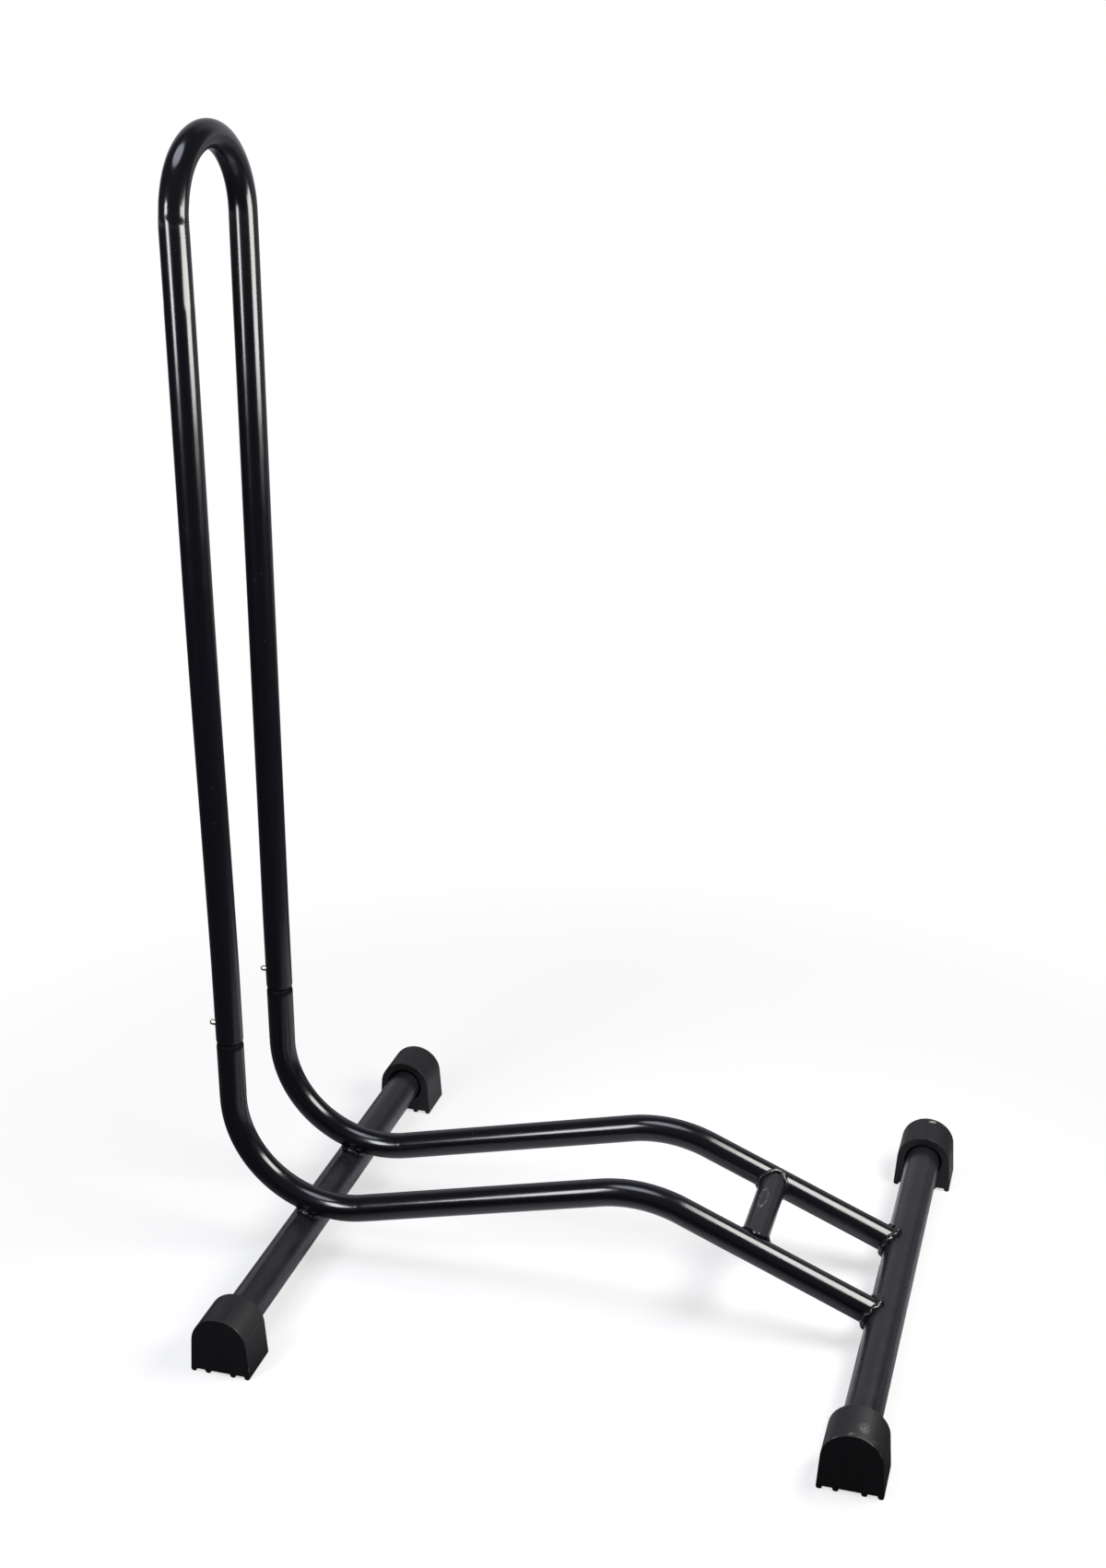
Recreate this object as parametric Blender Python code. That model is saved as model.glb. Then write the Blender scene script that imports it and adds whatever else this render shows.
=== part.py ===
"""Floor stand for one bicycle wheel, with an upright hoop that lifts off.

The wheel rolls in between two bent rails and leans in the hoop.  The rails sit on
the rear cross tube, rise to a hump and run down into the side of the front cross
tube.  Each cross tube ends in two moulded feet.  The hoop's open legs slip over
necked spigots on the rails, and a sprung button in each spigot snaps out through a
hole in the leg to hold it.

Metres, +Z up.  The floor is z = 0, +X points at the front cross tube, and the
stand is the same on both sides of y = 0.  The origin is under the middle of the
stand's overall length.
"""
from math import acos, asin, atan2, cos, hypot, pi, radians, sin, sqrt, tan

import bmesh
import bpy
from mathutils import Vector

# Overall layout
STAND_WIDTH = 0.400  # across the outer ends of the feet
STAND_HEIGHT = 0.8016  # top of the hoop
CROSS_TUBE_SPACING = 0.428  # rear axis to front axis
CROSS_TUBE_HEIGHT = 0.024  # axis above the floor
RAIL_SPACING = 0.091  # between the rails' axes

# Steel tubes
FRAME_TUBE_DIAMETER = 0.019
CROSS_TUBE_DIAMETER = 0.025
TUBE_WALL = 0.0012

# Rails, seen from the side
STUB_SETBACK = 0.0525  # upright stub's axis behind the rear cross tube's axis
LOWER_BEND_RADIUS = 0.079
RISE_ANGLE = radians(14.0)
FALL_ANGLE = radians(22.9)
HUMP_BEND_RADIUS = 0.093
SPACER_DISTANCE = 0.1036  # front cross tube to spacer, down the slope

# Neck, where a hoop leg meets its rail
NECK_HEIGHT = 0.1682  # end of the hoop leg above the floor
SPIGOT_LENGTH = 0.038
SPIGOT_CHAMFER = 0.0008
NECK_TAPER = 0.004  # length over which the bore opens out below the spigot
SHOULDER_LIP = 0.0002  # flat at the foot of the spigot, outside the leg's bore
SHOULDER_ROUND = 0.0022  # height of the rounded shoulder
LEG_END_ROUND = 0.0010

# Hoop
HOOP_TOP_SPACING = 0.1048  # between the legs' axes where the bend begins
HOOP_PARALLEL_LENGTH = 0.060  # straight socket length before the legs splay

# Feet
FOOT_LENGTH = 0.032  # along the cross tube
FOOT_CROWN = 0.0073  # material over the socket
FOOT_FLARE = 0.0015  # how far each side stands out at the bottom
FOOT_END_WALL = 0.0035
SOCKET_LEAD_IN = 0.0014  # extra radius at the mouth
SOCKET_LEAD_DEPTH = 0.006
RIB_HEIGHT = 0.0022
RIB_WIDTH = 0.0042
RIB_FLAT = 0.0012  # flat on each crest, which touches the floor
INNER_RIB_OFFSET = 0.0091  # inner ribs from the foot's middle

# Snap button and its spring
BUTTON_DIAMETER = 0.0042
BUTTON_PROUD = 0.0052  # dome above the leg's surface
BUTTON_HEIGHT = 0.0135  # above the end of the leg
BUTTON_STEM_DIAMETER = 0.0024
BUTTON_TAIL_DIAMETER = 0.0044
BUTTON_TAIL = 0.0005
SPRING_WIDTH = 0.0076
SPRING_THICKNESS = 0.0008
SPRING_ABOVE_BUTTON = 0.007
SPRING_STRAIGHT = 0.020  # parallel part of each leaf below the button
SPRING_TAIL = 0.018  # from there down to the fold
SPRING_FOLD_RADIUS = 0.0021
SPRING_FOLD_FLAT = 0.001  # across the bottom of the fold
SPRING_KINK_RADIUS = 0.006

# Weld beads
SPACER_BEAD_RADIUS = 0.0017
FRONT_BEAD_RADIUS = 0.0019
REAR_BEAD_RADIUS = 0.0024
REAR_BEAD_REACH = 0.0072  # bead's middle line from the touching point
BEAD_STAND_OFF = 0.0012  # bead's middle line outside the tube it runs round

# Fits
CONTACT_GAP = 0.0003  # between pieces that touch or slide
CUT_MARGIN = 0.001  # how far a cutter reaches past what it cuts

# How finely round things are divided
TUBE_SIDES = 24
PIN_SIDES = 16
BEAD_SIDES = 8
BEAD_STEPS = 24
LOWER_BEND_STEPS = 12
HUMP_BEND_STEPS = 5
HOOP_BEND_STEPS = 18
ROUND_STEPS = 3
CROWN_STEPS = 16
DOME_STEPS = 4
SPRING_KINK_STEPS = 2
SPRING_FOLD_STEPS = 5
SHARP_ANGLE = radians(35.0)  # edges bent more than this are shaded sharp
MERGE_DISTANCE = 0.00003  # joins the doubled points that a cut leaves

# Sizes that follow
tube_radius = FRAME_TUBE_DIAMETER / 2
bore_radius = tube_radius - TUBE_WALL
cross_radius = CROSS_TUBE_DIAMETER / 2
spigot_radius = bore_radius - CONTACT_GAP
spigot_bore_radius = spigot_radius - TUBE_WALL
button_radius = BUTTON_DIAMETER / 2
half_rails = RAIL_SPACING / 2
socket_radius = cross_radius + CONTACT_GAP
crown_radius = socket_radius + FOOT_CROWN
foot_half_width = crown_radius + FOOT_FLARE

# Places along X and Z
overall_length = (foot_half_width + CROSS_TUBE_SPACING + STUB_SETBACK + tube_radius + BUTTON_PROUD)
front_x = overall_length / 2 - foot_half_width
rear_x = front_x - CROSS_TUBE_SPACING
stub_x = rear_x - STUB_SETBACK
button_z = NECK_HEIGHT + BUTTON_HEIGHT
spigot_top = NECK_HEIGHT + SPIGOT_LENGTH
shoulder_z = NECK_HEIGHT - CONTACT_GAP

ALONG = Vector((1, 0, 0))
ACROSS = Vector((0, 1, 0))
UP = Vector((0, 0, 1))


def material(name, colour, roughness, metallic):
    """A plain finish, one for each kind of surface."""
    finish = bpy.data.materials.new(name)
    finish.use_nodes = True
    shader = finish.node_tree.nodes["Principled BSDF"]
    shader.inputs["Base Color"].default_value = (*colour, 1)
    shader.inputs["Roughness"].default_value = roughness
    shader.inputs["Metallic"].default_value = metallic
    return finish


def add_object(name, mesh, finish, place=(0, 0, 0), turn=0.0):
    """Put a mesh in the scene under its piece's name."""
    piece = bpy.data.objects.new(name, mesh)
    piece.location = place
    piece.rotation_euler.z = turn
    bpy.context.scene.collection.objects.link(piece)
    if finish and not mesh.materials:
        mesh.materials.append(finish)
    return piece


def finish_mesh(shape, name):
    """Point the faces outwards and shade the round ones smooth."""
    bmesh.ops.recalc_face_normals(shape, faces=shape.faces)
    mesh = bpy.data.meshes.new(name)
    shape.to_mesh(mesh)
    shape.free()
    mesh.shade_smooth()
    mesh.set_sharp_from_angle(angle=SHARP_ANGLE)
    return mesh


def skin(name, rings, closed):
    """Skin over a row of rings of points.

    A closed row comes back to its first ring, as a tube's wall does when it goes up
    the outside and down the bore.  An open row gets a flat cap at each end.
    """
    shape = bmesh.new()
    loops = [[shape.verts.new(point) for point in ring] for ring in rings]
    pairs = list(zip(loops, loops[1:]))
    if closed:
        pairs.append((loops[-1], loops[0]))
    for one, other in pairs:
        for i in range(len(one)):
            j = (i + 1) % len(one)
            shape.faces.new((one[i], one[j], other[j], other[i]))
    if not closed:
        shape.faces.new(loops[0])
        shape.faces.new(loops[-1])
    return finish_mesh(shape, name)


def circle(centre, first, second, radius, sides):
    """Points round a circle that lies in the plane of two unit vectors."""
    points = []
    for i in range(sides):
        angle = 2 * pi * i / sides
        points.append(centre + radius * (cos(angle) * first + sin(angle) * second))
    return points


def circles_along(stations, side, sides=TUBE_SIDES):
    """Circles square to a flat path.

    Each station is a point, the path's direction there and the circle's radius, and
    side is the unit vector square to the path's plane.
    """
    return [circle(point, side, heading.cross(side), radius, sides)
            for point, heading, radius in stations]


def with_radius(route, radius):
    """Give every point of a route the same radius."""
    return [(point, heading, radius) for point, heading in route]


def corner_arc(before, corner, after, radius, steps):
    """Points and headings round a corner, on an arc that touches both runs."""
    entry = (corner - before).normalized()
    leave = (after - corner).normalized()
    turn = entry.angle(leave)
    inward = (leave - entry * entry.dot(leave)).normalized()
    start = corner - entry * radius * tan(turn / 2)
    arc = []
    for i in range(steps + 1):
        angle = turn * i / steps
        point = start + radius * (sin(angle) * entry + (1 - cos(angle)) * inward)
        arc.append((point, cos(angle) * entry + sin(angle) * inward))
    return arc


def bent_route(corners, radii, steps):
    """Points and headings along straight runs whose corners are rounded."""
    route = [(corners[0], (corners[1] - corners[0]).normalized())]
    for i, radius in enumerate(radii):
        route += corner_arc(corners[i], corners[i + 1], corners[i + 2], radius, steps[i])
    route.append((corners[-1], (corners[-1] - corners[-2]).normalized()))
    return route


def subtract(piece, *cutters):
    """Cut other bodies out of a piece, and join the doubled points that this leaves."""
    for cutter in cutters:
        cut = piece.modifiers.new(cutter.name, "BOOLEAN")
        cut.operation = "DIFFERENCE"
        cut.solver = "EXACT"
        cut.object = cutter
        merge = piece.modifiers.new(cutter.name + "_points", "WELD")
        merge.merge_threshold = MERGE_DISTANCE


def as_cutter(name, mesh, place=(0, 0, 0)):
    """A body that only cuts others, and is no piece itself."""
    cutter = add_object(name, mesh, None, place)
    cutter.hide_render = True
    cutter.display_type = "WIRE"
    return cutter


# The rails' line from the side

def lower_bend_centre():
    """Middle of the lower bend, placed so that the rail rests on the rear cross tube."""
    centre_x = stub_x + LOWER_BEND_RADIUS
    seat = LOWER_BEND_RADIUS + tube_radius + CONTACT_GAP + cross_radius
    rise = sqrt(seat ** 2 - (centre_x - rear_x) ** 2)
    return Vector((centre_x, 0, CROSS_TUBE_HEIGHT + rise))


def rail_corners():
    """Stub top, corner of the lower bend, corner of the hump and the front axis."""
    centre = lower_bend_centre()
    drop = LOWER_BEND_RADIUS * tan((pi / 2 + RISE_ANGLE) / 2)
    low = Vector((stub_x, 0, centre.z - drop))
    front = Vector((front_x, 0, CROSS_TUBE_HEIGHT))
    gap = front - low
    run = (gap.x * sin(FALL_ANGLE) + gap.z * cos(FALL_ANGLE)) / sin(RISE_ANGLE + FALL_ANGLE)
    hump = low + run * Vector((cos(RISE_ANGLE), 0, sin(RISE_ANGLE)))
    return [Vector((stub_x, 0, shoulder_z)), low, hump, front]


slope = Vector((cos(FALL_ANGLE), 0, -sin(FALL_ANGLE)))  # down the front run of a rail
slope_up = Vector((sin(FALL_ANGLE), 0, cos(FALL_ANGLE)))  # square to it, on its upper side
spacer_point = rail_corners()[-1] - SPACER_DISTANCE * slope


def rail_route():
    """A rail's middle line from under its shoulder to the front cross tube's axis."""
    return bent_route(rail_corners(), [LOWER_BEND_RADIUS, HUMP_BEND_RADIUS],
                      [LOWER_BEND_STEPS, HUMP_BEND_STEPS])


def quarter_round(inner, outer, height, steps=ROUND_STEPS):
    """Radius and distance from the end, round a tube's rounded edge."""
    for i in range(steps + 1):
        angle = pi / 2 * i / steps
        yield inner + (outer - inner) * sin(angle), height * (1 - cos(angle))


def make_rail_mesh():
    """One rail: necked spigot, rounded shoulder, two bends, hollow from end to end."""
    down = -UP
    route = rail_route()
    top = Vector((stub_x, 0, spigot_top))
    shoulder = Vector((stub_x, 0, shoulder_z))
    outside = [
        (top, down, spigot_radius - SPIGOT_CHAMFER),
        (top + SPIGOT_CHAMFER * down, down, spigot_radius),
        (shoulder, down, spigot_radius),
    ]
    lip_radius = bore_radius + SHOULDER_LIP
    for radius, depth in quarter_round(lip_radius, tube_radius, SHOULDER_ROUND):
        outside.append((shoulder + depth * down, down, radius))
    outside += with_radius(route[1:], tube_radius)
    neck_end = shoulder + SHOULDER_ROUND * down
    inside = [
        (top, down, spigot_bore_radius),
        (neck_end, down, spigot_bore_radius),
        (neck_end + NECK_TAPER * down, down, bore_radius),
    ]
    inside += with_radius(route[1:], bore_radius)
    rings = circles_along(outside, ACROSS) + circles_along(inside[::-1], ACROSS)
    return skin("rail", rings, closed=True)


# The hoop

def hoop_route():
    """The hoop's middle line, from the near leg's splay round to the far leg's.

    Heights are above the ends of the legs.
    """
    bend_radius = HOOP_TOP_SPACING / 2
    centre_z = STAND_HEIGHT - NECK_HEIGHT - tube_radius - bend_radius
    climb = centre_z - HOOP_PARALLEL_LENGTH
    reach = hypot(half_rails, climb)
    splay = asin(bend_radius / reach) - atan2(half_rails, climb)
    route = [(Vector((0, -half_rails, HOOP_PARALLEL_LENGTH)), UP)]
    for i in range(HOOP_BEND_STEPS + 1):
        angle = pi + splay - (pi + 2 * splay) * i / HOOP_BEND_STEPS
        outward = Vector((0, cos(angle), sin(angle)))
        heading = Vector((0, sin(angle), -cos(angle)))
        route.append((centre_z * UP + bend_radius * outward, heading))
    route.append((Vector((0, half_rails, HOOP_PARALLEL_LENGTH)), -UP))
    return route


def make_hoop_mesh():
    """The upright hoop: one bent tube with open legs whose ends have a soft lip."""
    near_end = -half_rails * ACROSS
    far_end = half_rails * ACROSS
    lip = list(quarter_round(tube_radius - LEG_END_ROUND, tube_radius, LEG_END_ROUND))
    outside = [(near_end + depth * UP, UP, radius) for radius, depth in lip]
    outside += with_radius(hoop_route(), tube_radius)
    outside += [(far_end + depth * UP, -UP, radius) for radius, depth in lip[::-1]]
    inside = [(near_end, UP, bore_radius)]
    inside += with_radius(hoop_route(), bore_radius)
    inside += [(far_end, -UP, bore_radius)]
    rings = circles_along(outside, ALONG) + circles_along(inside[::-1], ALONG)
    return skin("upright_hoop", rings, closed=True)


# Straight tubes across the stand

def tube_across(name, length, radius, first, second):
    """An open tube along Y, whose section lies in the plane of two unit vectors."""
    ends = [-length / 2 * ACROSS, length / 2 * ACROSS]
    rings = [circle(end, first, second, radius, TUBE_SIDES) for end in ends]
    rings += [circle(end, first, second, radius - TUBE_WALL, TUBE_SIDES) for end in ends[::-1]]
    return skin(name, rings, closed=True)


def room_across(name, place, half_length, radius, first, second):
    """A solid round bar along Y, which cuts a tube's room out of what meets it."""
    ends = [-half_length * ACROSS, half_length * ACROSS]
    rings = [circle(end, first, second, radius + CONTACT_GAP, TUBE_SIDES) for end in ends]
    return as_cutter(name, skin(name, rings, closed=False), place)


# Feet

def rib_points(middle):
    """One rib's outline under the foot, from left to right, flat on its crest."""
    bulge = (RIB_WIDTH - RIB_FLAT) / 2
    left = [(middle - RIB_FLAT / 2 - bulge * cos(pi / 2 * i / ROUND_STEPS),
             RIB_HEIGHT * (1 - sin(pi / 2 * i / ROUND_STEPS))) for i in range(ROUND_STEPS + 1)]
    right = [(2 * middle - x, z) for x, z in left[::-1]]
    return left + right


def foot_outline():
    """The foot's end view: ribs, flared sides and a round crown about the tube's axis."""
    corner_rib = foot_half_width - RIB_WIDTH / 2
    points = []
    for middle in (-corner_rib, -INNER_RIB_OFFSET, INNER_RIB_OFFSET, corner_rib):
        points += rib_points(middle)
    drop = CROSS_TUBE_HEIGHT - RIB_HEIGHT
    reach = hypot(foot_half_width, drop)
    start = acos(crown_radius / reach) - atan2(drop, foot_half_width)
    for i in range(CROWN_STEPS + 1):
        angle = start + (pi - 2 * start) * i / CROWN_STEPS
        points.append((crown_radius * cos(angle), CROSS_TUBE_HEIGHT + crown_radius * sin(angle)))
    return points


def make_foot_mesh():
    """A foot with its outer end on y = 0 and its socket open towards +Y."""
    shape = bmesh.new()
    outer = shape.faces.new([shape.verts.new((x, 0, z)) for x, z in foot_outline()])
    grown = bmesh.ops.extrude_face_region(shape, geom=[outer], use_keep_orig=True)
    moved = [item for item in grown["geom"] if isinstance(item, bmesh.types.BMVert)]
    bmesh.ops.translate(shape, verts=moved, vec=FOOT_LENGTH * ACROSS)
    return finish_mesh(shape, "foot")


def socket_cutter(name, mouth, inward):
    """The socket's shape: a tapered lead-in and a bore that fits the cross tube."""
    steps = [(-CUT_MARGIN, socket_radius + SOCKET_LEAD_IN),
             (0, socket_radius + SOCKET_LEAD_IN),
             (SOCKET_LEAD_DEPTH, socket_radius),
             (FOOT_LENGTH - FOOT_END_WALL, socket_radius)]
    rings = [circle(depth * inward, ALONG, UP, radius, TUBE_SIDES) for depth, radius in steps]
    return as_cutter(name, skin(name, rings, closed=False), mouth)


# Snap buttons and their springs

leaf_outer = sqrt(spigot_bore_radius ** 2 - (SPRING_WIDTH / 2) ** 2) - CONTACT_GAP
leaf_inner = leaf_outer - SPRING_THICKNESS


def turned_pin(name, profile):
    """A body turned about X, from distances behind its origin and their radii."""
    rings = [circle(-distance * ALONG, ACROSS, UP, radius, PIN_SIDES)
             for distance, radius in profile]
    return skin(name, rings, closed=False)


def make_button_mesh():
    """A domed pin with a stem through the leaf and a peened tail behind it."""
    stem_radius = BUTTON_STEM_DIAMETER / 2
    tail_front = leaf_inner - CONTACT_GAP
    seat = leaf_outer + CONTACT_GAP
    dome_start = tube_radius + BUTTON_PROUD - button_radius
    profile = [(tail_front - BUTTON_TAIL, BUTTON_TAIL_DIAMETER / 2),
               (tail_front, BUTTON_TAIL_DIAMETER / 2),
               (tail_front, stem_radius),
               (seat, stem_radius),
               (seat, button_radius)]
    for i in range(DOME_STEPS):
        angle = pi / 2 * i / DOME_STEPS
        profile.append((dome_start + button_radius * sin(angle), button_radius * cos(angle)))
    last_radius = profile[-1][1]
    profile.append((dome_start + button_radius, last_radius / 4))
    return turned_pin("snap_button", profile)


def make_spring_mesh():
    """A leaf folded into a V, whose legs press on opposite sides of the spigot's bore."""
    stand = leaf_outer - SPRING_THICKNESS / 2
    fold = SPRING_FOLD_RADIUS + SPRING_FOLD_FLAT / 2
    top = SPRING_ABOVE_BUTTON
    kink = -SPRING_STRAIGHT
    base = kink - SPRING_TAIL
    outline = [(-stand, top), (-stand, kink), (-fold, base), (fold, base), (stand, kink), (stand, top)]
    corners = [Vector((x, 0, z)) for x, z in outline]
    radii = [SPRING_KINK_RADIUS, SPRING_FOLD_RADIUS, SPRING_FOLD_RADIUS, SPRING_KINK_RADIUS]
    steps = [SPRING_KINK_STEPS, SPRING_FOLD_STEPS, SPRING_FOLD_STEPS, SPRING_KINK_STEPS]
    route = bent_route(corners, radii, steps)
    half_width = SPRING_WIDTH / 2 * ACROSS
    rings = []
    for point, heading in route:
        half_thickness = heading.cross(ACROSS) * SPRING_THICKNESS / 2
        rings.append([point + half_width + half_thickness, point - half_width + half_thickness,
                      point - half_width - half_thickness, point + half_width - half_thickness])
    return skin("button_spring", rings, closed=False)


def pin_hole_cutter(name, radius, first_end, last_end, place):
    """A round hole along X, between two distances behind a place."""
    return as_cutter(name, turned_pin(name, [(first_end, radius), (last_end, radius)]), place)


# Weld beads

def closed_bead(name, points, outward, radius):
    """A round bead along a closed row of points, with the outward side of each."""
    rings = []
    for i, point in enumerate(points):
        heading = (points[(i + 1) % len(points)] - points[i - 1]).normalized()
        first = (outward[i] - heading * heading.dot(outward[i])).normalized()
        rings.append(circle(point, first, heading.cross(first), radius, BEAD_SIDES))
    return skin(name, rings, closed=True)


def saddle_bead_mesh(name, branch, main, branch_radius, main_radius, bead_radius):
    """A bead where a branch tube meets the side of a main tube, about where the axes cross.

    At angle t round the branch the line lies rho cos t along the main axis and
    rho sin t to its side, and so sqrt(reach^2 - (rho sin t)^2) out along the branch.
    """
    rho = branch_radius + BEAD_STAND_OFF / 2
    reach = main_radius + BEAD_STAND_OFF
    side = main.cross(branch)
    points = []
    outward = []
    for i in range(BEAD_STEPS):
        angle = 2 * pi * (i + 0.5) / BEAD_STEPS
        radial = cos(angle) * main + sin(angle) * side
        out = sqrt(reach ** 2 - (rho * sin(angle)) ** 2)
        points.append(rho * radial + out * branch)
        outward.append(radial)
    return closed_bead(name, points, outward, bead_radius)


def seat_bead_mesh(name, normal):
    """A bead round the place where a rail rests on the rear cross tube.

    The line is an oval about the touching point, half way between the rail's
    underside, which curves up to its sides, and the tube, which falls away.  It is
    made about the tube's axis, and normal points from there to the touching point.
    """
    along_rail = ACROSS.cross(normal)
    middle = (cross_radius + CONTACT_GAP / 2) * normal
    points = []
    outward = []
    for i in range(BEAD_STEPS):
        angle = 2 * pi * (i + 0.5) / BEAD_STEPS
        x = REAR_BEAD_REACH * cos(angle)
        y = REAR_BEAD_REACH * sin(angle)
        fall = cross_radius - sqrt(cross_radius ** 2 - x ** 2)
        climb = tube_radius - sqrt(tube_radius ** 2 - y ** 2)
        points.append(middle + x * along_rail + y * ACROSS + (climb - fall) / 2 * normal)
        outward.append(cos(angle) * along_rail + sin(angle) * ACROSS)
    return closed_bead(name, points, outward, REAR_BEAD_RADIUS)


# Putting the stand together

SIDES = {"near": -1, "far": 1}
rear_axis = Vector((rear_x, 0, CROSS_TUBE_HEIGHT))
front_axis = Vector((front_x, 0, CROSS_TUBE_HEIGHT))


def build_cross_tubes(paint):
    """Front and rear tubes, and the room that each takes out of what meets it."""
    length = STAND_WIDTH - 2 * (FOOT_END_WALL + CONTACT_GAP)
    room_reach = half_rails + FRAME_TUBE_DIAMETER
    rooms = {}
    for end, axis in (("rear", rear_axis), ("front", front_axis)):
        mesh = tube_across(end + "_cross_tube", length, cross_radius, ALONG, UP)
        add_object(end + "_cross_tube", mesh, paint, axis)
        rooms[end] = room_across(end + "_tube_room", axis, room_reach, cross_radius, ALONG, UP)
    return rooms


def build_rails(paint, front_room):
    """Both rails, cut to the front tube's side, and the room that each takes."""
    mesh = make_rail_mesh()
    path = with_radius(rail_route(), tube_radius + CONTACT_GAP)
    room_mesh = skin("rail_room", circles_along(path, ACROSS), closed=False)
    rails = {}
    rooms = {}
    for name, side in SIDES.items():
        place = side * half_rails * ACROSS
        rails[name] = add_object(name + "_rail", mesh, paint, place)
        subtract(rails[name], front_room)
        rooms[name] = as_cutter(name + "_rail_room", room_mesh, place)
    return rails, rooms


def build_buttons(rails, hoop, button_finish, spring_finish):
    """A button and its folded leaf in each spigot, and the holes that they need."""
    button_mesh = make_button_mesh()
    spring_mesh = make_spring_mesh()
    hole_radius = button_radius + CONTACT_GAP
    stem_hole_radius = BUTTON_STEM_DIAMETER / 2 + CONTACT_GAP
    for name, side in SIDES.items():
        place = Vector((stub_x, side * half_rails, button_z))
        hole = pin_hole_cutter(name + "_button_hole", hole_radius,
                               leaf_outer, tube_radius + CUT_MARGIN, place)
        subtract(rails[name], hole)
        subtract(hoop, hole)
        add_object(name + "_snap_button", button_mesh, button_finish, place)
        spring = add_object(name + "_button_spring", spring_mesh, spring_finish, place)
        stem_hole = pin_hole_cutter(name + "_stem_hole", stem_hole_radius,
                                    leaf_inner - CUT_MARGIN, leaf_outer + CUT_MARGIN, place)
        subtract(spring, stem_hole)


def build_spacer(paint, rail_rooms):
    """The short tube between the rails, and the room that it takes out of its welds."""
    mesh = tube_across("rail_spacer", RAIL_SPACING, tube_radius, slope, slope_up)
    spacer = add_object("rail_spacer", mesh, paint, spacer_point)
    subtract(spacer, *rail_rooms.values())
    return room_across("spacer_room", spacer_point, half_rails, tube_radius, slope, slope_up)


def build_feet(rubber):
    """Four feet from one mould, each turned so that its socket opens inwards."""
    mesh = make_foot_mesh()
    for end, x in (("rear", rear_x), ("front", front_x)):
        for name, side in SIDES.items():
            outer_end = side * STAND_WIDTH / 2
            turn = 0.0 if side < 0 else pi
            foot = add_object(end + "_" + name + "_foot", mesh, rubber, (x, outer_end, 0), turn)
            mouth = Vector((x, outer_end - side * FOOT_LENGTH, CROSS_TUBE_HEIGHT))
            subtract(foot, socket_cutter(foot.name + "_socket", mouth, side * ACROSS))


def build_welds(paint, rail_rooms, cross_rooms, spacer_room):
    """Beads round the spacer's ends, the rails' front ends and their rear seats."""
    to_seat = (lower_bend_centre() - rear_axis).normalized()
    for name, side in SIDES.items():
        place = side * half_rails * ACROSS
        mesh = saddle_bead_mesh(name + "_spacer_weld", -side * ACROSS, slope,
                                tube_radius, tube_radius, SPACER_BEAD_RADIUS)
        bead = add_object(name + "_spacer_weld", mesh, paint, spacer_point + place)
        subtract(bead, rail_rooms[name], spacer_room)
        mesh = saddle_bead_mesh(name + "_front_weld", -slope, ACROSS,
                                tube_radius, cross_radius, FRONT_BEAD_RADIUS)
        bead = add_object(name + "_front_weld", mesh, paint, front_axis + place)
        subtract(bead, rail_rooms[name], cross_rooms["front"])
        mesh = seat_bead_mesh(name + "_rear_weld", to_seat)
        bead = add_object(name + "_rear_weld", mesh, paint, rear_axis + place)
        subtract(bead, rail_rooms[name], cross_rooms["rear"])


def build():
    """Make every piece and cut each one to fit its neighbours."""
    gloss_black = material("gloss_black_paint", (0.012, 0.012, 0.014), 0.28, 0.0)
    satin_black = material("satin_black_paint", (0.020, 0.020, 0.023), 0.45, 0.0)
    bead_black = material("painted_weld", (0.014, 0.014, 0.016), 0.30, 0.0)
    foot_black = material("moulded_foot", (0.022, 0.022, 0.024), 0.70, 0.0)
    bright_steel = material("bright_steel", (0.72, 0.70, 0.66), 0.18, 1.0)
    spring_steel = material("spring_steel", (0.42, 0.42, 0.44), 0.35, 1.0)
    hoop = add_object("upright_hoop", make_hoop_mesh(), gloss_black, (stub_x, 0, NECK_HEIGHT))
    cross_rooms = build_cross_tubes(satin_black)
    rails, rail_rooms = build_rails(gloss_black, cross_rooms["front"])
    build_buttons(rails, hoop, bright_steel, spring_steel)
    spacer_room = build_spacer(satin_black, rail_rooms)
    build_feet(foot_black)
    build_welds(bead_black, rail_rooms, cross_rooms, spacer_room)


for old in list(bpy.data.objects):
    bpy.data.objects.remove(old, do_unlink=True)
build()
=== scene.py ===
"""Bike stand: the looks of every piece, with floor, lamps and camera.

The stand is in metres.  +Z is up, +X points from the hoop towards the front tube
and +Y across the stand, away from the camera.
"""

from math import acos, asin, atan2, ceil, cos, hypot, pi, radians, sin, sqrt, tan

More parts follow.
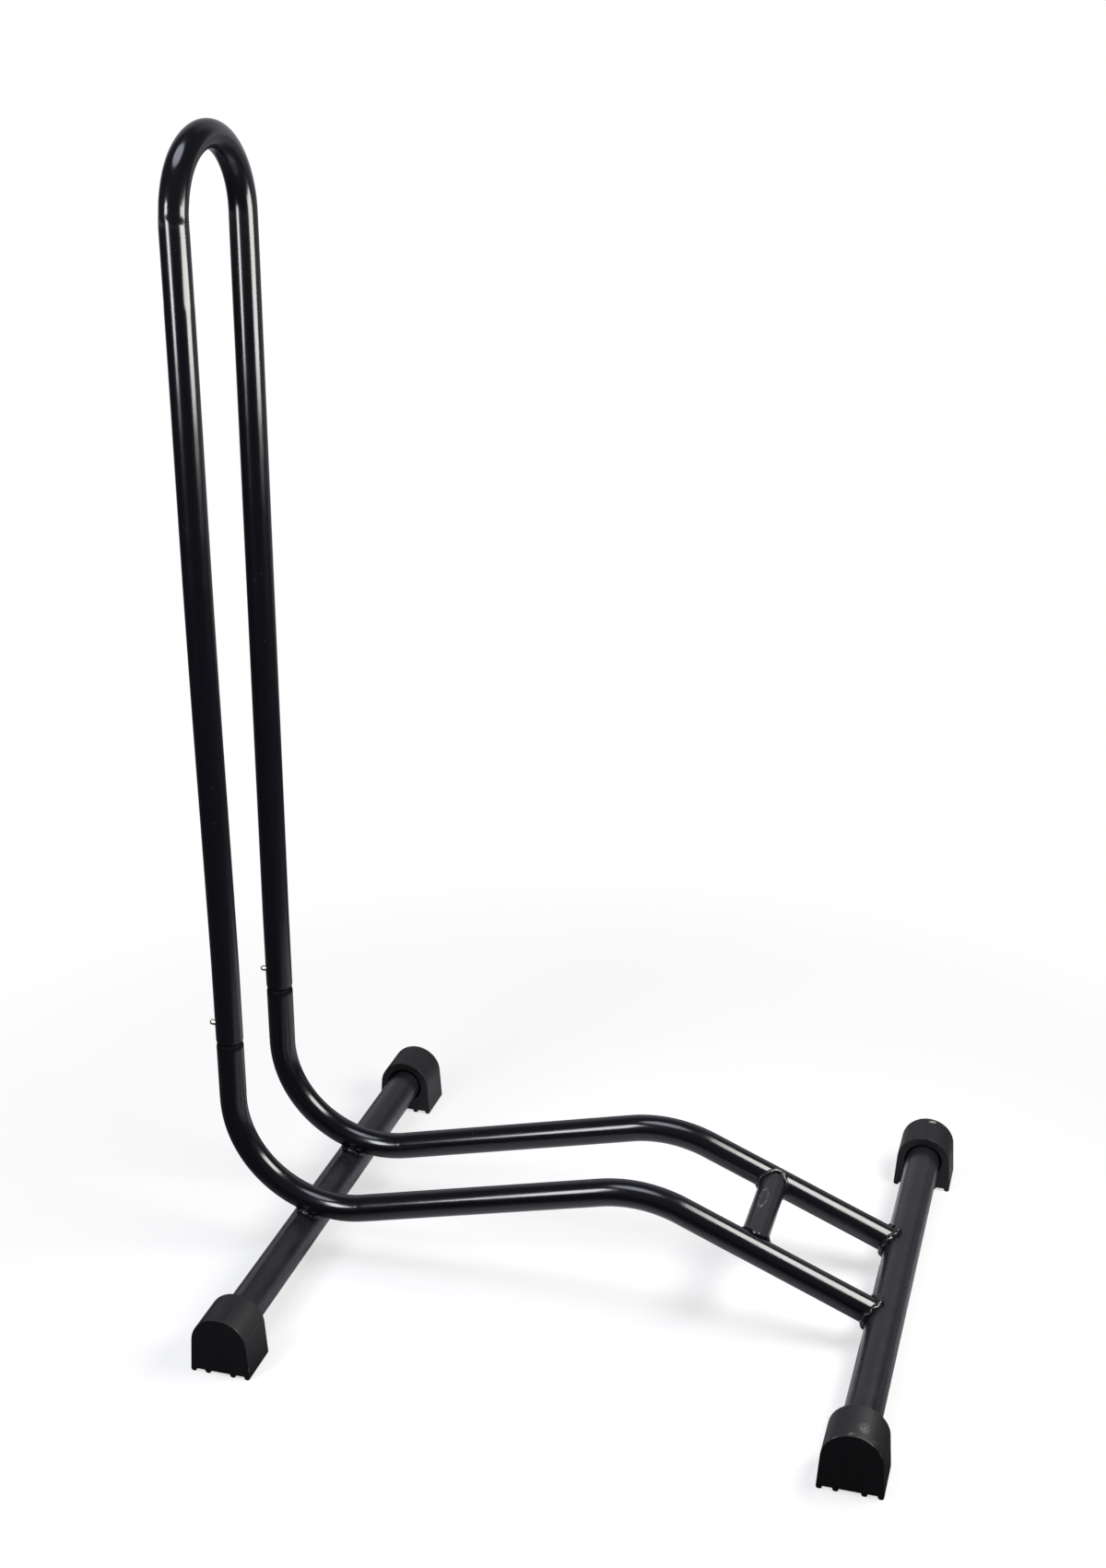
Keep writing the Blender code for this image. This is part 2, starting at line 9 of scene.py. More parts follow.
import bmesh
import bpy
import numpy as np
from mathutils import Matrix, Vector


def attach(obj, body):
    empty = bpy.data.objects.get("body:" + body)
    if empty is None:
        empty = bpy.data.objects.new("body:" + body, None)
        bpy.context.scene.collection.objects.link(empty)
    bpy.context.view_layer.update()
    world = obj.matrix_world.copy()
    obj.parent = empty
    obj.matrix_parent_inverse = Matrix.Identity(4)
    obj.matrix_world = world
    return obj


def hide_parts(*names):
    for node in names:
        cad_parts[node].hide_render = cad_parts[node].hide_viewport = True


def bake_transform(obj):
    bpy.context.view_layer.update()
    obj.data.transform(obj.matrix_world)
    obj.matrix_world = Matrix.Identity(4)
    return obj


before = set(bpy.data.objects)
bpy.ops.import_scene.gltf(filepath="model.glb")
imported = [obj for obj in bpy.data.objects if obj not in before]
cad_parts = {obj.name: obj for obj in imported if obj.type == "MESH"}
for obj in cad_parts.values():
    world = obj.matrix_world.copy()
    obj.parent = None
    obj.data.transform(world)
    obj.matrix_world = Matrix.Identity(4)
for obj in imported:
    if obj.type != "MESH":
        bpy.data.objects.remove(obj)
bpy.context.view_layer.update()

# Sizes that the looks share with the part

STAND_WIDTH = 0.400
STAND_HEIGHT = 0.8016
CROSS_TUBE_SPACING = 0.428
CROSS_TUBE_HEIGHT = 0.024
HALF_RAILS = 0.0455
TUBE_RADIUS = 0.0095
CROSS_RADIUS = 0.0125
TUBE_WALL = 0.0012
FIT_GAP = 0.0003
BORE_RADIUS = TUBE_RADIUS - TUBE_WALL
CROSS_BORE_RADIUS = CROSS_RADIUS - TUBE_WALL
COAT = 0.0003
PAINTED_RADIUS = TUBE_RADIUS + COAT

STUB_SETBACK = 0.0525
LOWER_BEND_RADIUS = 0.079
RISE_ANGLE = radians(14.0)
FALL_ANGLE = radians(22.9)
HUMP_BEND_RADIUS = 0.093
SPACER_DISTANCE = 0.1036

NECK_HEIGHT = 0.1682
SPIGOT_TOP = 0.2062
SHOULDER_Z = 0.1679
SPIGOT_RADIUS = 0.0080
SPIGOT_BORE_RADIUS = 0.0068
SPIGOT_CHAMFER = 0.0008
SHOULDER_LIP = 0.0001
SHOULDER_ROUND = 0.0040
NECK_TAPER = 0.004
LEG_END_ROUND = 0.0013
LEG_END_TUCK = 0.0024

HOOP_TOP_SPACING = 0.1048
HOOP_PARALLEL_LENGTH = 0.060
LEG_BOW_BACK = 0.0005
LEG_BOW_OUT = 0.0009
SHOULDER_OUT = 0.0007

FOOT_LENGTH = 0.032
FOOT_CROWN = 0.0073
FOOT_FLARE = 0.0015
FOOT_END_WALL = 0.0035
SOCKET_RADIUS = CROSS_RADIUS + FIT_GAP
SOCKET_LEAD_IN = 0.0014
SOCKET_LEAD_DEPTH = 0.006
RIB_HEIGHT = 0.0022
RIB_WIDTH = 0.0042
RIB_FLAT = 0.0012
INNER_RIB_OFFSET = 0.0091

BUTTON_RADIUS = 0.0021
BUTTON_PROUD = 0.0052
BUTTON_HEIGHT = 0.0135
STEM_RADIUS = 0.0012
TAIL_RADIUS = 0.0022
BUTTON_TAIL = 0.0005
SPRING_WIDTH = 0.0076
SPRING_THICKNESS = 0.0008
SPRING_ABOVE_BUTTON = 0.007
SPRING_STRAIGHT = 0.020
SPRING_TAIL = 0.018
SPRING_FOLD_RADIUS = 0.0021
SPRING_FOLD_FLAT = 0.001
SPRING_KINK_RADIUS = 0.006
REAR_BEAD_REACH = 0.0072

# Sizes that only the looks have: rims, rounded edges and what the bending tool left

HOLE_ROW_STEP = 0.00076
HOLE_REACH = 5  # rows and columns from a hole's middle to the edge of its window
LEG_HOLE_RIM = 0.00025
SPIGOT_HOLE_RIM = 0.0002
RAIL_END_OVERLAP = 0.0003
SPACER_END_GAP = 0.0001
BEAD_LIFT = 0.0010
PIN_EDGE = 0.0002
FOOT_EDGE_ROUND = 0.0004
FOOT_RIM_MARGIN = 0.0006
FOOT_FACE_MARGIN = 0.0012
SOCKET_EDGE_ROUND = 0.0003

JAW_OVALNESS = 0.016
HOOP_BEND_OVALNESS = 0.030
LOWER_BEND_OVALNESS = 0.016
HUMP_OVALNESS = 0.008
JAW_FLAT_DEPTH = 0.00025
BACK_FLAT_DEPTH = 0.00004
BEND_DENT_DEPTH = 0.00105
NICK_DEPTH = 0.00005
HOOP_PINCH_DEPTH = 0.00008
RAIL_PINCH_DEPTH = 0.00009
LONG_WAVE_DEPTH = 0.000014
SHORT_WAVE_DEPTH = 0.000008

# Places that follow from the sizes

crown_radius = SOCKET_RADIUS + FOOT_CROWN
foot_half_width = crown_radius + FOOT_FLARE
overall_length = (foot_half_width + CROSS_TUBE_SPACING + STUB_SETBACK
                  + TUBE_RADIUS + BUTTON_PROUD)
front_x = overall_length / 2 - foot_half_width
rear_x = front_x - CROSS_TUBE_SPACING
stub_x = rear_x - STUB_SETBACK
button_z = NECK_HEIGHT + BUTTON_HEIGHT
hole_radius = BUTTON_RADIUS + FIT_GAP
hoop_bend_radius = HOOP_TOP_SPACING / 2
hoop_centre = np.array([stub_x, 0, STAND_HEIGHT - PAINTED_RADIUS - hoop_bend_radius])
leaf_outer = sqrt(SPIGOT_BORE_RADIUS ** 2 - (SPRING_WIDTH / 2) ** 2) - FIT_GAP
leaf_inner = leaf_outer - SPRING_THICKNESS

X = np.array([1.0, 0.0, 0.0])
Y = np.array([0.0, 1.0, 0.0])
Z = np.array([0.0, 0.0, 1.0])
SIDES = {"near": -1, "far": 1}
front_axis = np.array([front_x, 0, CROSS_TUBE_HEIGHT])
rear_axis = np.array([rear_x, 0, CROSS_TUBE_HEIGHT])
slope = np.array([cos(FALL_ANGLE), 0, -sin(FALL_ANGLE)])
slope_up = np.array([sin(FALL_ANGLE), 0, cos(FALL_ANGLE)])
spacer_point = front_axis - SPACER_DISTANCE * slope

TUBE_COLUMNS = 64
ROUND_ANGLES = np.linspace(0, pi / 2, 6)


# Building meshes out of grids of points

def unit(vectors):
    """Each vector divided by its own length."""
    return vectors / np.linalg.norm(vectors, axis=-1, keepdims=True)


def step_up(value, start, end):
    """0 before start, 1 after end and 3t^2 - 2t^3 between them."""
    t = np.clip((value - start) / (end - start), 0, 1)
    return t * t * (3 - 2 * t)


def hill(value, middle, half_width):
    """(1 + cos(pi d)) / 2 within one half width of the middle, and 0 beyond it."""
    d = np.clip(np.abs(value - middle) / half_width, 0, 1)
    return (1 + np.cos(pi * d)) / 2


def once_round(count):
    """Evenly spaced angles, once round a circle."""
    return 2 * pi * np.arange(count) / count


def nearest(values, wanted):
    """Index of the value that is nearest to the wanted one."""
    return int(np.argmin(np.abs(values - wanted)))


def evenly(start, end, step):
    """Distances from start up to, but not at, end, at most one step apart."""
    count = max(1, ceil((end - start) / step - 1e-9))
    return start + (end - start) * np.arange(count) / count


def in_stretches(start, *stretches):
    """Distances from start through stretches, each given by its end and its step."""
    runs = []
    for end, step in stretches:
        runs.append(evenly(start, end, step))
        start = end
    return np.concatenate(runs)


class Patches:
    """Grids of points that are joined into one mesh where their edges meet."""

    def __init__(self):
        self.points = []
        self.faces = []
        self.count = 0

    def grid(self, points, close_rows=False, close_columns=True, without=()):
        """Adds the four-sided faces between neighbouring rows and columns.

        The grid may be closed in either direction, and each block (first row, last
        row, first column, last column) in without is left open.
        """
        rows, columns = points.shape[:2]
        row = np.arange(rows if close_rows else rows - 1)[:, None]
        column = np.arange(columns if close_columns else columns - 1)[None, :]
        keep = np.ones((row.size, column.size), bool)
        for first_row, last_row, first_column, last_column in without:
            keep[first_row:last_row, first_column:last_column] = False
        next_row = (row + 1) % rows
        next_column = (column + 1) % columns
        corners = [row * columns + column, next_row * columns + column,
                   next_row * columns + next_column, row * columns + next_column]
        faces = np.stack([np.broadcast_to(c, keep.shape)[keep] for c in corners], axis=1)
        self.points.append(points.reshape(-1, 3))
        self.faces.append(faces + self.count)
        self.count += rows * columns

    def fan(self, ring, pole):
        """Closes a ring of points with three-sided faces round one pole."""
        index = np.arange(len(ring))
        faces = np.stack([index, np.roll(index, -1), np.full(len(ring), len(ring))], axis=1)
        self.points.append(np.vstack([ring, pole[None]]))
        self.faces.append(faces + self.count)
        self.count += len(ring) + 1

    def pipe(self, outside, inside, outer_windows=(), inner_windows=()):
        """Adds a tube's outside and its bore, joined by a flat ring at each end."""
        self.grid(outside, without=outer_windows)
        self.grid(inside, without=inner_windows)
        self.grid(np.stack([outside[0], inside[0]]))
        self.grid(np.stack([outside[-1], inside[-1]]))

    def mesh(self, name, sharp_angle=40.0):
        """One closed mesh of all grids, smooth but for edges sharper than an angle."""
        mesh = bpy.data.meshes.new(name)
        points = np.concatenate(self.points)
        faces = [row for block in self.faces for row in block.tolist()]
        mesh.from_pydata(points.tolist(), [], faces)
        shape = bmesh.new()
        shape.from_mesh(mesh)
        bmesh.ops.remove_doubles(shape, verts=shape.verts, dist=2e-6)
        bmesh.ops.dissolve_degenerate(shape, edges=shape.edges, dist=1e-7)
        bmesh.ops.recalc_face_normals(shape, faces=shape.faces)
        shape.to_mesh(mesh)
        shape.free()
        mesh.shade_smooth()
        mesh.set_sharp_from_angle(angle=radians(sharp_angle))
        return mesh


def add_piece(mesh, body, finish, node=None):
    """A visible piece, named as its mesh, that rides on a body and stands for a node."""
    piece = bpy.data.objects.new(mesh.name, mesh)
    bpy.context.scene.collection.objects.link(piece)
    mesh.materials.append(finish)
    if body:
        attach(piece, body)
    if node:
        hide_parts(node)
    return piece


# Middle lines of bent tubes

def straight(start, end):
    """A straight piece of a middle line."""
    return {"length": np.linalg.norm(end - start), "start": start,
            "heading": unit(end - start), "inward": None, "radius": None}


def arc(start, heading, inward, radius, turn):
    """A round piece of a middle line, which turns towards inward."""
    return {"length": radius * turn, "start": start, "heading": heading,
            "inward": inward, "radius": radius}


def bent(corners, radii):
    """Straight pieces through corners, each corner rounded by an arc of its radius.

    An arc that turns by angle a starts r tan(a / 2) before its corner.
    """
    pieces = []
    last = corners[0]
    for before, corner, after, radius in zip(corners, corners[1:], corners[2:], radii):
        heading = unit(corner - before)
        leaving = unit(after - corner)
        turn = acos(np.dot(heading, leaving))
        inward = unit(leaving - heading * np.dot(heading, leaving))
        start = corner - radius * tan(turn / 2) * heading
        pieces.append(straight(last, start))
        pieces.append(arc(start, heading, inward, radius, turn))
        last = corner + radius * tan(turn / 2) * leaving
    pieces.append(straight(last, corners[-1]))
    return pieces


def along(pieces, distance):
    """Points and headings at some distances along a middle line.

    On a straight piece the point is start + d h.  On an arc with a = d / r it is
    start + r sin a h + r (1 - cos a) n, n being the way to the arc's centre, and
    the heading there is cos a h + sin a n.
    """
    points = np.zeros((len(distance), 3))
    headings = np.zeros((len(distance), 3))
    begin = 0.0
    for piece in pieces:
        here = distance >= begin - 1e-12
        d = (distance[here] - begin)[:, None]
        if piece["radius"] is None:
            points[here] = piece["start"] + d * piece["heading"]
            headings[here] = piece["heading"]
        else:
            a = d / piece["radius"]
            ahead = piece["radius"] * np.sin(a) * piece["heading"]
            sideways = piece["radius"] * (1 - np.cos(a)) * piece["inward"]
            points[here] = piece["start"] + ahead + sideways
            headings[here] = np.cos(a) * piece["heading"] + np.sin(a) * piece["inward"]
        begin += piece["length"]
    return points, headings


def lengths_to(pieces):
    """Distance from the beginning of a middle line to the end of each of its pieces."""
    return np.cumsum([piece["length"] for piece in pieces])


def tube_points(points, headings, first, across, upright):
    """Points on an oval tube round a middle line.

    At angle t the point stands a cos t along first and b sin t along the heading
    crossed with first.  The half widths a (across) and b (upright) are given per
    row, or per row and column.
    """
    t = once_round(TUBE_COLUMNS)
    second = np.cross(headings, first)
    wide = (across * np.cos(t))[..., None] * first
    tall = (upright * np.sin(t))[..., None] * second[:, None, :]
    return points[:, None, :] + wide + tall


def rows_by_hole(distance):
    """Evenly spaced rows over the window in which a button hole is made."""
    return distance + HOLE_ROW_STEP * np.arange(-HOLE_REACH, HOLE_REACH + 1)


def window(row, column):
    """The block of grid faces round a button hole, given by its middle row and column."""
    return (row - HOLE_REACH, row + HOLE_REACH, column - HOLE_REACH, column + HOLE_REACH)


def window_edge(points, block):
    """The points round a block's edge, in order."""
    top, bottom, left, right = block
    edge = [points[top, left:right], points[top:bottom, right],
            points[bottom, right:left:-1], points[bottom:top:-1, left]]
    return np.concatenate(edge)


def pin_hole(outer_edge, inner_edge, centre, outer_radius, inner_radius, radius, rim):
    """The walls and rims of a round hole along X through a tube's -X side.

    Seen along X, each ring runs from the hole's circle out to the edge of the
    opening in the grid: (1 - f) r (cos a, sin a) + f e, where e is the edge's point
    and a its angle.  On a surface of radius R the depth is x = -sqrt(R^2 - y^2).
    """
    def ring(edge, share, size, surface, depth):
        flat = edge[:, 1:] - centre[1:]
        angle = np.arctan2(flat[:, 1], flat[:, 0])
        round_part = size * np.stack([np.cos(angle), np.sin(angle)], axis=1)
        place = (1 - share) * round_part + share * flat
        x = centre[0] - np.sqrt(surface ** 2 - place[:, 0] ** 2) + depth
        return np.column_stack([x, place + centre[1:]])

    rings = [outer_edge]
    for share in (0.66, 0.33, 0.0):
        rings.append(ring(outer_edge, share, radius + rim, outer_radius, 0.0))
    for a in ROUND_ANGLES[1:]:
        size = radius + rim * (1 - sin(a))
        rings.append(ring(outer_edge, 0, size, outer_radius, rim * (1 - cos(a))))
    for share in (0.0, 0.5):
        rings.append(ring(inner_edge, share, radius, inner_radius, 0.0))
    rings.append(inner_edge)
    return np.stack(rings)


# The hoop

def hoop_line():
    """Middle line of the hoop: straight legs that splay slightly, and a half round top.

    Above the knee a leg leans by the angle at which it just touches the top's arc.
    """
    foot = np.array([stub_x, -HALF_RAILS, NECK_HEIGHT])
    knee = foot + HOOP_PARALLEL_LENGTH * Z
    climb = hoop_centre[2] - knee[2]
    reach = hypot(HALF_RAILS, climb)
    splay = asin(hoop_bend_radius / reach) - atan2(HALF_RAILS, climb)
    start = hoop_centre + hoop_bend_radius * np.array([0, -cos(splay), -sin(splay)])
    heading = np.array([0, -sin(splay), cos(splay)])
    inward = np.array([0, cos(splay), sin(splay)])
    mirror = np.array([1, -1, 1])
    return [straight(foot, knee), straight(knee, start),
            arc(start, heading, inward, hoop_bend_radius, pi + 2 * splay),
            straight(start * mirror, knee * mirror), straight(knee * mirror, foot * mirror)]


def settled(points, distance, leg_length, total):
    """The hoop's middle line as hand work left it, and its headings.

    Between spigot and bend both legs bow by b sin^2(pi s), back along X and out
    along Y, s running from 0 to 1.  Round the top the near shoulder stands out and
    the far one in by a smooth hill over the angle.
    """
    inner = np.minimum(distance, total - distance)
    start = SPIGOT_TOP - NECK_HEIGHT
    share = np.clip((inner - start) / (leg_length - start), 0, 1)
    bow = np.sin(pi * share)[:, None] ** 2
    outwards = np.sign(points[:, 1:2]) * Y
    moved = points + bow * (LEG_BOW_OUT * outwards - LEG_BOW_BACK * X)
    turned = (distance - leg_length) / (total - 2 * leg_length)
    shoulder = SHOULDER_OUT * (hill(turned, 0.22, 0.20) - 0.4 * hill(turned, 0.74, 0.20))
    moved = moved + shoulder[:, None] * unit(points - hoop_centre)
    return moved, unit(np.gradient(moved, distance, axis=0))


def hoop_ovalness(distance, leg_length, total):
    """How much narrower than round the hoop is along X at each distance.

    The bending tool has squeezed the near leg below the bend over about 50 mm, and
    the tube is a little oval round the bend.  Both shares rise by a smooth step, and
    one more step lets them fade where the bend runs into the far leg.
    """
    past = distance - leg_length
    jaw = JAW_OVALNESS * step_up(past, -0.052, -0.043)
    bend = HOOP_BEND_OVALNESS * step_up(past, -0.006, 0.016)
    leaving = step_up(total - distance - leg_length, -0.030, 0.050)
    return (jaw + bend) * leaving


def hoop_marks(distance, angle, leg_length, total):
    """Depth of the flats and marks that the bending tool left, by distance and angle.

    A flat of depth h and half angle w is h (1 + cos(pi (t - t0) / w)) / 2 round the
    tube, times a smooth start and end along it.  A wider dent of the same kind sits
    where the near leg runs into the bend, and its start slants round the tube.  Two
    nicks where the bend leaves for the far leg are short flats, and two slow sines
    along the whole tube make it slightly wavy.
    """
    past = distance - leg_length
    jaw = step_up(past, -0.0510, -0.0445) * (1 - 0.75 * step_up(past, -0.043, 0.004))
    jaw = (jaw * (1 - step_up(past, 0.004, 0.014)))[:, None]
    flats = JAW_FLAT_DEPTH * jaw * hill(angle, radians(325), radians(27))
    flats = flats + BACK_FLAT_DEPTH * jaw * hill(angle, radians(268), radians(26))
    slant = 0.0016 * (radians(325) - angle) / radians(57)
    dent = step_up(past[:, None] - slant, 0.0022, 0.0080)
    dent = dent * (1 - step_up(past, 0.0100, 0.0480))[:, None]
    dent = BEND_DENT_DEPTH * dent * hill(angle, radians(296), radians(80))
    pinch = HOOP_PINCH_DEPTH * hill(past, 0.0095, 0.0052)
    past_far = distance - (total - leg_length)
    nicks = NICK_DEPTH * (hill(past_far, 0.0060, 0.0024) + hill(past_far, 0.0350, 0.0022))
    nicks = nicks[:, None] * hill(angle, radians(262), radians(16))
    wave = LONG_WAVE_DEPTH * np.sin(2 * pi * distance / 0.047)
    wave = wave + SHORT_WAVE_DEPTH * np.sin(2 * pi * distance / 0.0193)
    return flats + dent + nicks + (pinch + np.abs(wave))[:, None]


def hoop_mesh():
    """The hoop as one closed skin: outside, rounded ends, bore and two button holes.

    The rounded ends follow a quarter oval, t (1 - cos a) along the leg and
    r - e (1 - sin a) wide.  The rows stand closest where the leg runs into the bend.
    """
    line = hoop_line()
    ends = lengths_to(line)
    total = ends[-1]
    leg_length = ends[1]
    lip = LEG_END_TUCK * (1 - np.cos(ROUND_ANGLES[:-1]))
    lip_radius = PAINTED_RADIUS - LEG_END_ROUND * (1 - np.sin(ROUND_ANGLES[:-1]))
    hole_rows = rows_by_hole(BUTTON_HEIGHT)
    upper_rows = in_stretches(
        hole_rows[-1], (leg_length - 0.056, 0.0045), (leg_length - 0.038, 0.0010),
        (leg_length - 0.010, 0.0020), (leg_length + 0.020, 0.0007), (total / 2, 0.0015))
    half = np.concatenate([evenly(LEG_END_TUCK, hole_rows[0], 0.0015), hole_rows,
                           upper_rows[1:]])
    body = np.concatenate([half, [total / 2], (total - half)[::-1]])
    distance = np.concatenate([lip, body, (total - lip)[::-1]])
    radius = np.concatenate([lip_radius, np.full(len(body), PAINTED_RADIUS),
                             lip_radius[::-1]])[:, None]

    narrow = hoop_ovalness(distance, leg_length, total)[:, None]
    top = hill(distance, total / 2, 0.075)[:, None]
    sink = hoop_marks(distance, once_round(TUBE_COLUMNS)[None, :], leg_length, total)
    across = radius * (1 - narrow) - sink
    upright = radius * (1 + narrow * (0.6 - top)) - sink
    points, headings = settled(along(line, distance)[0], distance, leg_length, total)
    outside = tube_points(points, headings, X, across, upright)

    bore = np.concatenate([[0.0], body, [total]])
    edge = np.full((len(bore), 1), BORE_RADIUS)
    points, headings = settled(along(line, bore)[0], bore, leg_length, total)
    inside = tube_points(points, headings, X, edge, edge)

    column = TUBE_COLUMNS // 2
    hole_row = nearest(body, BUTTON_HEIGHT)
    row = len(lip) + hole_row
    bore_row = 1 + hole_row
    outer_windows = [window(r, column) for r in (row, len(distance) - 1 - row)]
    inner_windows = [window(r, column) for r in (bore_row, len(bore) - 1 - bore_row)]
    patches = Patches()
    patches.pipe(outside, inside, outer_windows, inner_windows)
    for side, outer, inner in zip((-1, 1), outer_windows, inner_windows):
        centre = np.array([stub_x, side * HALF_RAILS, button_z])
        patches.grid(pin_hole(window_edge(outside, outer), window_edge(inside, inner), centre,
                              PAINTED_RADIUS, BORE_RADIUS, hole_radius, LEG_HOLE_RIM))
    return patches.mesh("painted_hoop")


# The rails

def lower_bend_centre():
    """Centre of the rails' lower bend in the stand's middle plane.

    The bend rests on the rear tube, so its centre is one bend radius from the stub
    and one bend radius, one rail and one cross tube radius from the rear axis.
    """
    x = stub_x + LOWER_BEND_RADIUS
    seat = LOWER_BEND_RADIUS + TUBE_RADIUS + FIT_GAP + CROSS_RADIUS
    z = CROSS_TUBE_HEIGHT + sqrt(seat ** 2 - (x - rear_x) ** 2)
    return np.array([x, 0, z])


def rail_corners():
    """Corners of a rail's middle line in the stand's middle plane.

    The low corner lies r tan(a / 2) below the lower bend's centre, a being the turn.
    The corner over the hump is where the line that rises from there meets the line
    that falls to the front tube's axis.
    """
    top = np.array([stub_x, 0, SPIGOT_TOP])
    drop = LOWER_BEND_RADIUS * tan((pi / 2 + RISE_ANGLE) / 2)
    low = np.array([stub_x, 0, lower_bend_centre()[2] - drop])
    gap = front_axis - low
    square_to_fall = gap[0] * sin(FALL_ANGLE) + gap[2] * cos(FALL_ANGLE)
    run = square_to_fall / sin(RISE_ANGLE + FALL_ANGLE)
    hump = low + run * np.array([cos(RISE_ANGLE), 0, sin(RISE_ANGLE)])
    return [top, low, hump, front_axis]


def to_side_of(points, heading, axis, radius):
    """How far each point is from a tube's side, going along the heading.

    With q the place beside the axis, the distance is -q.h - sqrt((q.h)^2 - q.q + R^2).
    """
    q = points - axis
    q = q - (q @ Y)[..., None] * Y
    forward = q @ heading
    return -forward - np.sqrt(forward ** 2 - (q * q).sum(-1) + radius ** 2)


def rail_mesh(name, side):
    """One rail: necked spigot, rounded shoulder, two bends and an end cut to the tube.

    Rim and shoulder follow quarter ovals, and the bore opens by a smooth step below
    the spigot.  Both bends are oval, more so the lower one, whose ends the bending
    tool has pinched.  Past the last row each column runs on down the slope until it
    meets the front tube's side.
    """
    offset = side * HALF_RAILS * Y
    corners = [corner + offset for corner in rail_corners()]
    line = bent(corners, [LOWER_BEND_RADIUS, HUMP_BEND_RADIUS])
    ends = lengths_to(line)
    rim = SPIGOT_CHAMFER * (1 - np.cos(ROUND_ANGLES[:-1]))
    rim_radius = SPIGOT_RADIUS - SPIGOT_CHAMFER * (1 - np.sin(ROUND_ANGLES[:-1]))
    hole = SPIGOT_TOP - button_z
    hole_rows = rows_by_hole(hole)
    shoulder = SPIGOT_TOP - SHOULDER_Z
    neck = np.concatenate([evenly(SPIGOT_CHAMFER, hole_rows[0], 0.0030), hole_rows,
                           evenly(hole_rows[-1], shoulder, 0.0020)[1:], [shoulder]])
    curve = shoulder + SHOULDER_ROUND * (1 - np.cos(ROUND_ANGLES))
    lip = BORE_RADIUS + SHOULDER_LIP
    curve_radius = lip + (PAINTED_RADIUS - lip) * np.sin(ROUND_ANGLES)
    last_row = ends[3] + 0.004
    run = in_stretches(
        curve[-1], (ends[0] - 0.004, 0.0035), (ends[0] + 0.006, 0.0010),
        (ends[1] - 0.006, 0.0020), (ends[1] + 0.004, 0.0010), (ends[2] - 0.004, 0.0050),
        (last_row, 0.0016))
    run = np.append(run[1:], last_row)
    distance = np.concatenate([rim, neck, curve, run])
    radius = np.concatenate([rim_radius, np.full(len(neck), SPIGOT_RADIUS), curve_radius,
                             np.full(len(run), PAINTED_RADIUS)])

    bend = step_up(distance, ends[0] - 0.002, ends[0] + 0.004)
    bend = bend * (1 - step_up(distance, ends[1] - 0.005, ends[1] + 0.001))
    hump = hill(distance, (ends[2] + ends[3]) / 2, 0.045)
    narrow = LOWER_BEND_OVALNESS * bend + HUMP_OVALNESS * hump
    wave = LONG_WAVE_DEPTH * np.abs(np.sin(2 * pi * (distance + 0.01 * side) / 0.052))
    pinch = hill(distance, ends[0] - 0.001, 0.0026) + hill(distance, ends[1], 0.0030)
    sink = (wave + RAIL_PINCH_DEPTH * pinch) * (distance > curve[-1])
    across = radius * (1 + 0.4 * narrow) - sink
    upright = radius * (1 - narrow) - sink
    points, headings = along(line, distance)
    outside = tube_points(points, headings, Y, across[:, None], upright[:, None])

    taper_start = shoulder + SHOULDER_ROUND
    taper_end = taper_start + NECK_TAPER
    bore = np.concatenate([[0.0], neck, curve[1:], [taper_end], run[run > taper_end]])
    widening = step_up(bore, taper_start, taper_end)
    bore_radius = SPIGOT_BORE_RADIUS + (BORE_RADIUS - SPIGOT_BORE_RADIUS) * widening
    points, headings = along(line, bore)
    inside = tube_points(points, headings, Y, bore_radius[:, None], bore_radius[:, None])

    share = np.linspace(0, 1, 36)[1:, None, None]
    skins = []
    for skin in (outside, inside):
        reach = to_side_of(skin[-1], slope, front_axis + offset, CROSS_RADIUS - RAIL_END_OVERLAP)
        skins.append(np.concatenate([skin, skin[-1] + share * reach[:, None] * slope]))
    outside, inside = skins

    column = 3 * TUBE_COLUMNS // 4
    hole_row = nearest(neck, hole)
    outer = window(len(rim) + hole_row, column)
    inner = window(1 + hole_row, column)
    patches = Patches()
    patches.pipe(outside, inside, [outer], [inner])
    centre = np.array([stub_x, side * HALF_RAILS, button_z])
    patches.grid(pin_hole(window_edge(outside, outer), window_edge(inside, inner), centre,
                          SPIGOT_RADIUS, SPIGOT_BORE_RADIUS, hole_radius, SPIGOT_HOLE_RIM))
    return patches.mesh(name)


# Straight tubes across the stand

def cross_tube_mesh(name, axis, phase):
    """A straight open tube along Y, with the faint unevenness of drawn tube.

    Its radius is less by a slow wave |sin| along it and by one shallow flat round it.
    Its coat ends inside the mouth of each foot.
    """
    half = STAND_WIDTH / 2 - FOOT_END_WALL - FIT_GAP
    mouth = STAND_WIDTH / 2 - FOOT_LENGTH
    in_foot = evenly(0, half - mouth, 0.0018)
    y = np.concatenate([-half + in_foot, np.linspace(-mouth, mouth, 150),
                        mouth + in_foot[1:], [half]])
    points = axis + y[:, None] * Y
    headings = np.repeat(Y[None], len(y), 0)
    wave = 0.00002 * np.abs(np.sin(2 * pi * y / 0.061 + phase))
    flat = 0.00003 * hill(once_round(TUBE_COLUMNS), radians(200), radians(14))
    coat = COAT * (1 - step_up(np.abs(y), mouth + 0.0003, mouth + 0.0036))
    radius = CROSS_RADIUS - (wave[:, None] + flat[None, :] - coat[:, None])
    bore_radius = np.full((len(y), 1), CROSS_BORE_RADIUS)
    patches = Patches()
    patches.pipe(tube_points(points, headings, X, radius, radius),
                 tube_points(points, headings, X, bore_radius, bore_radius))
    return patches.mesh(name)


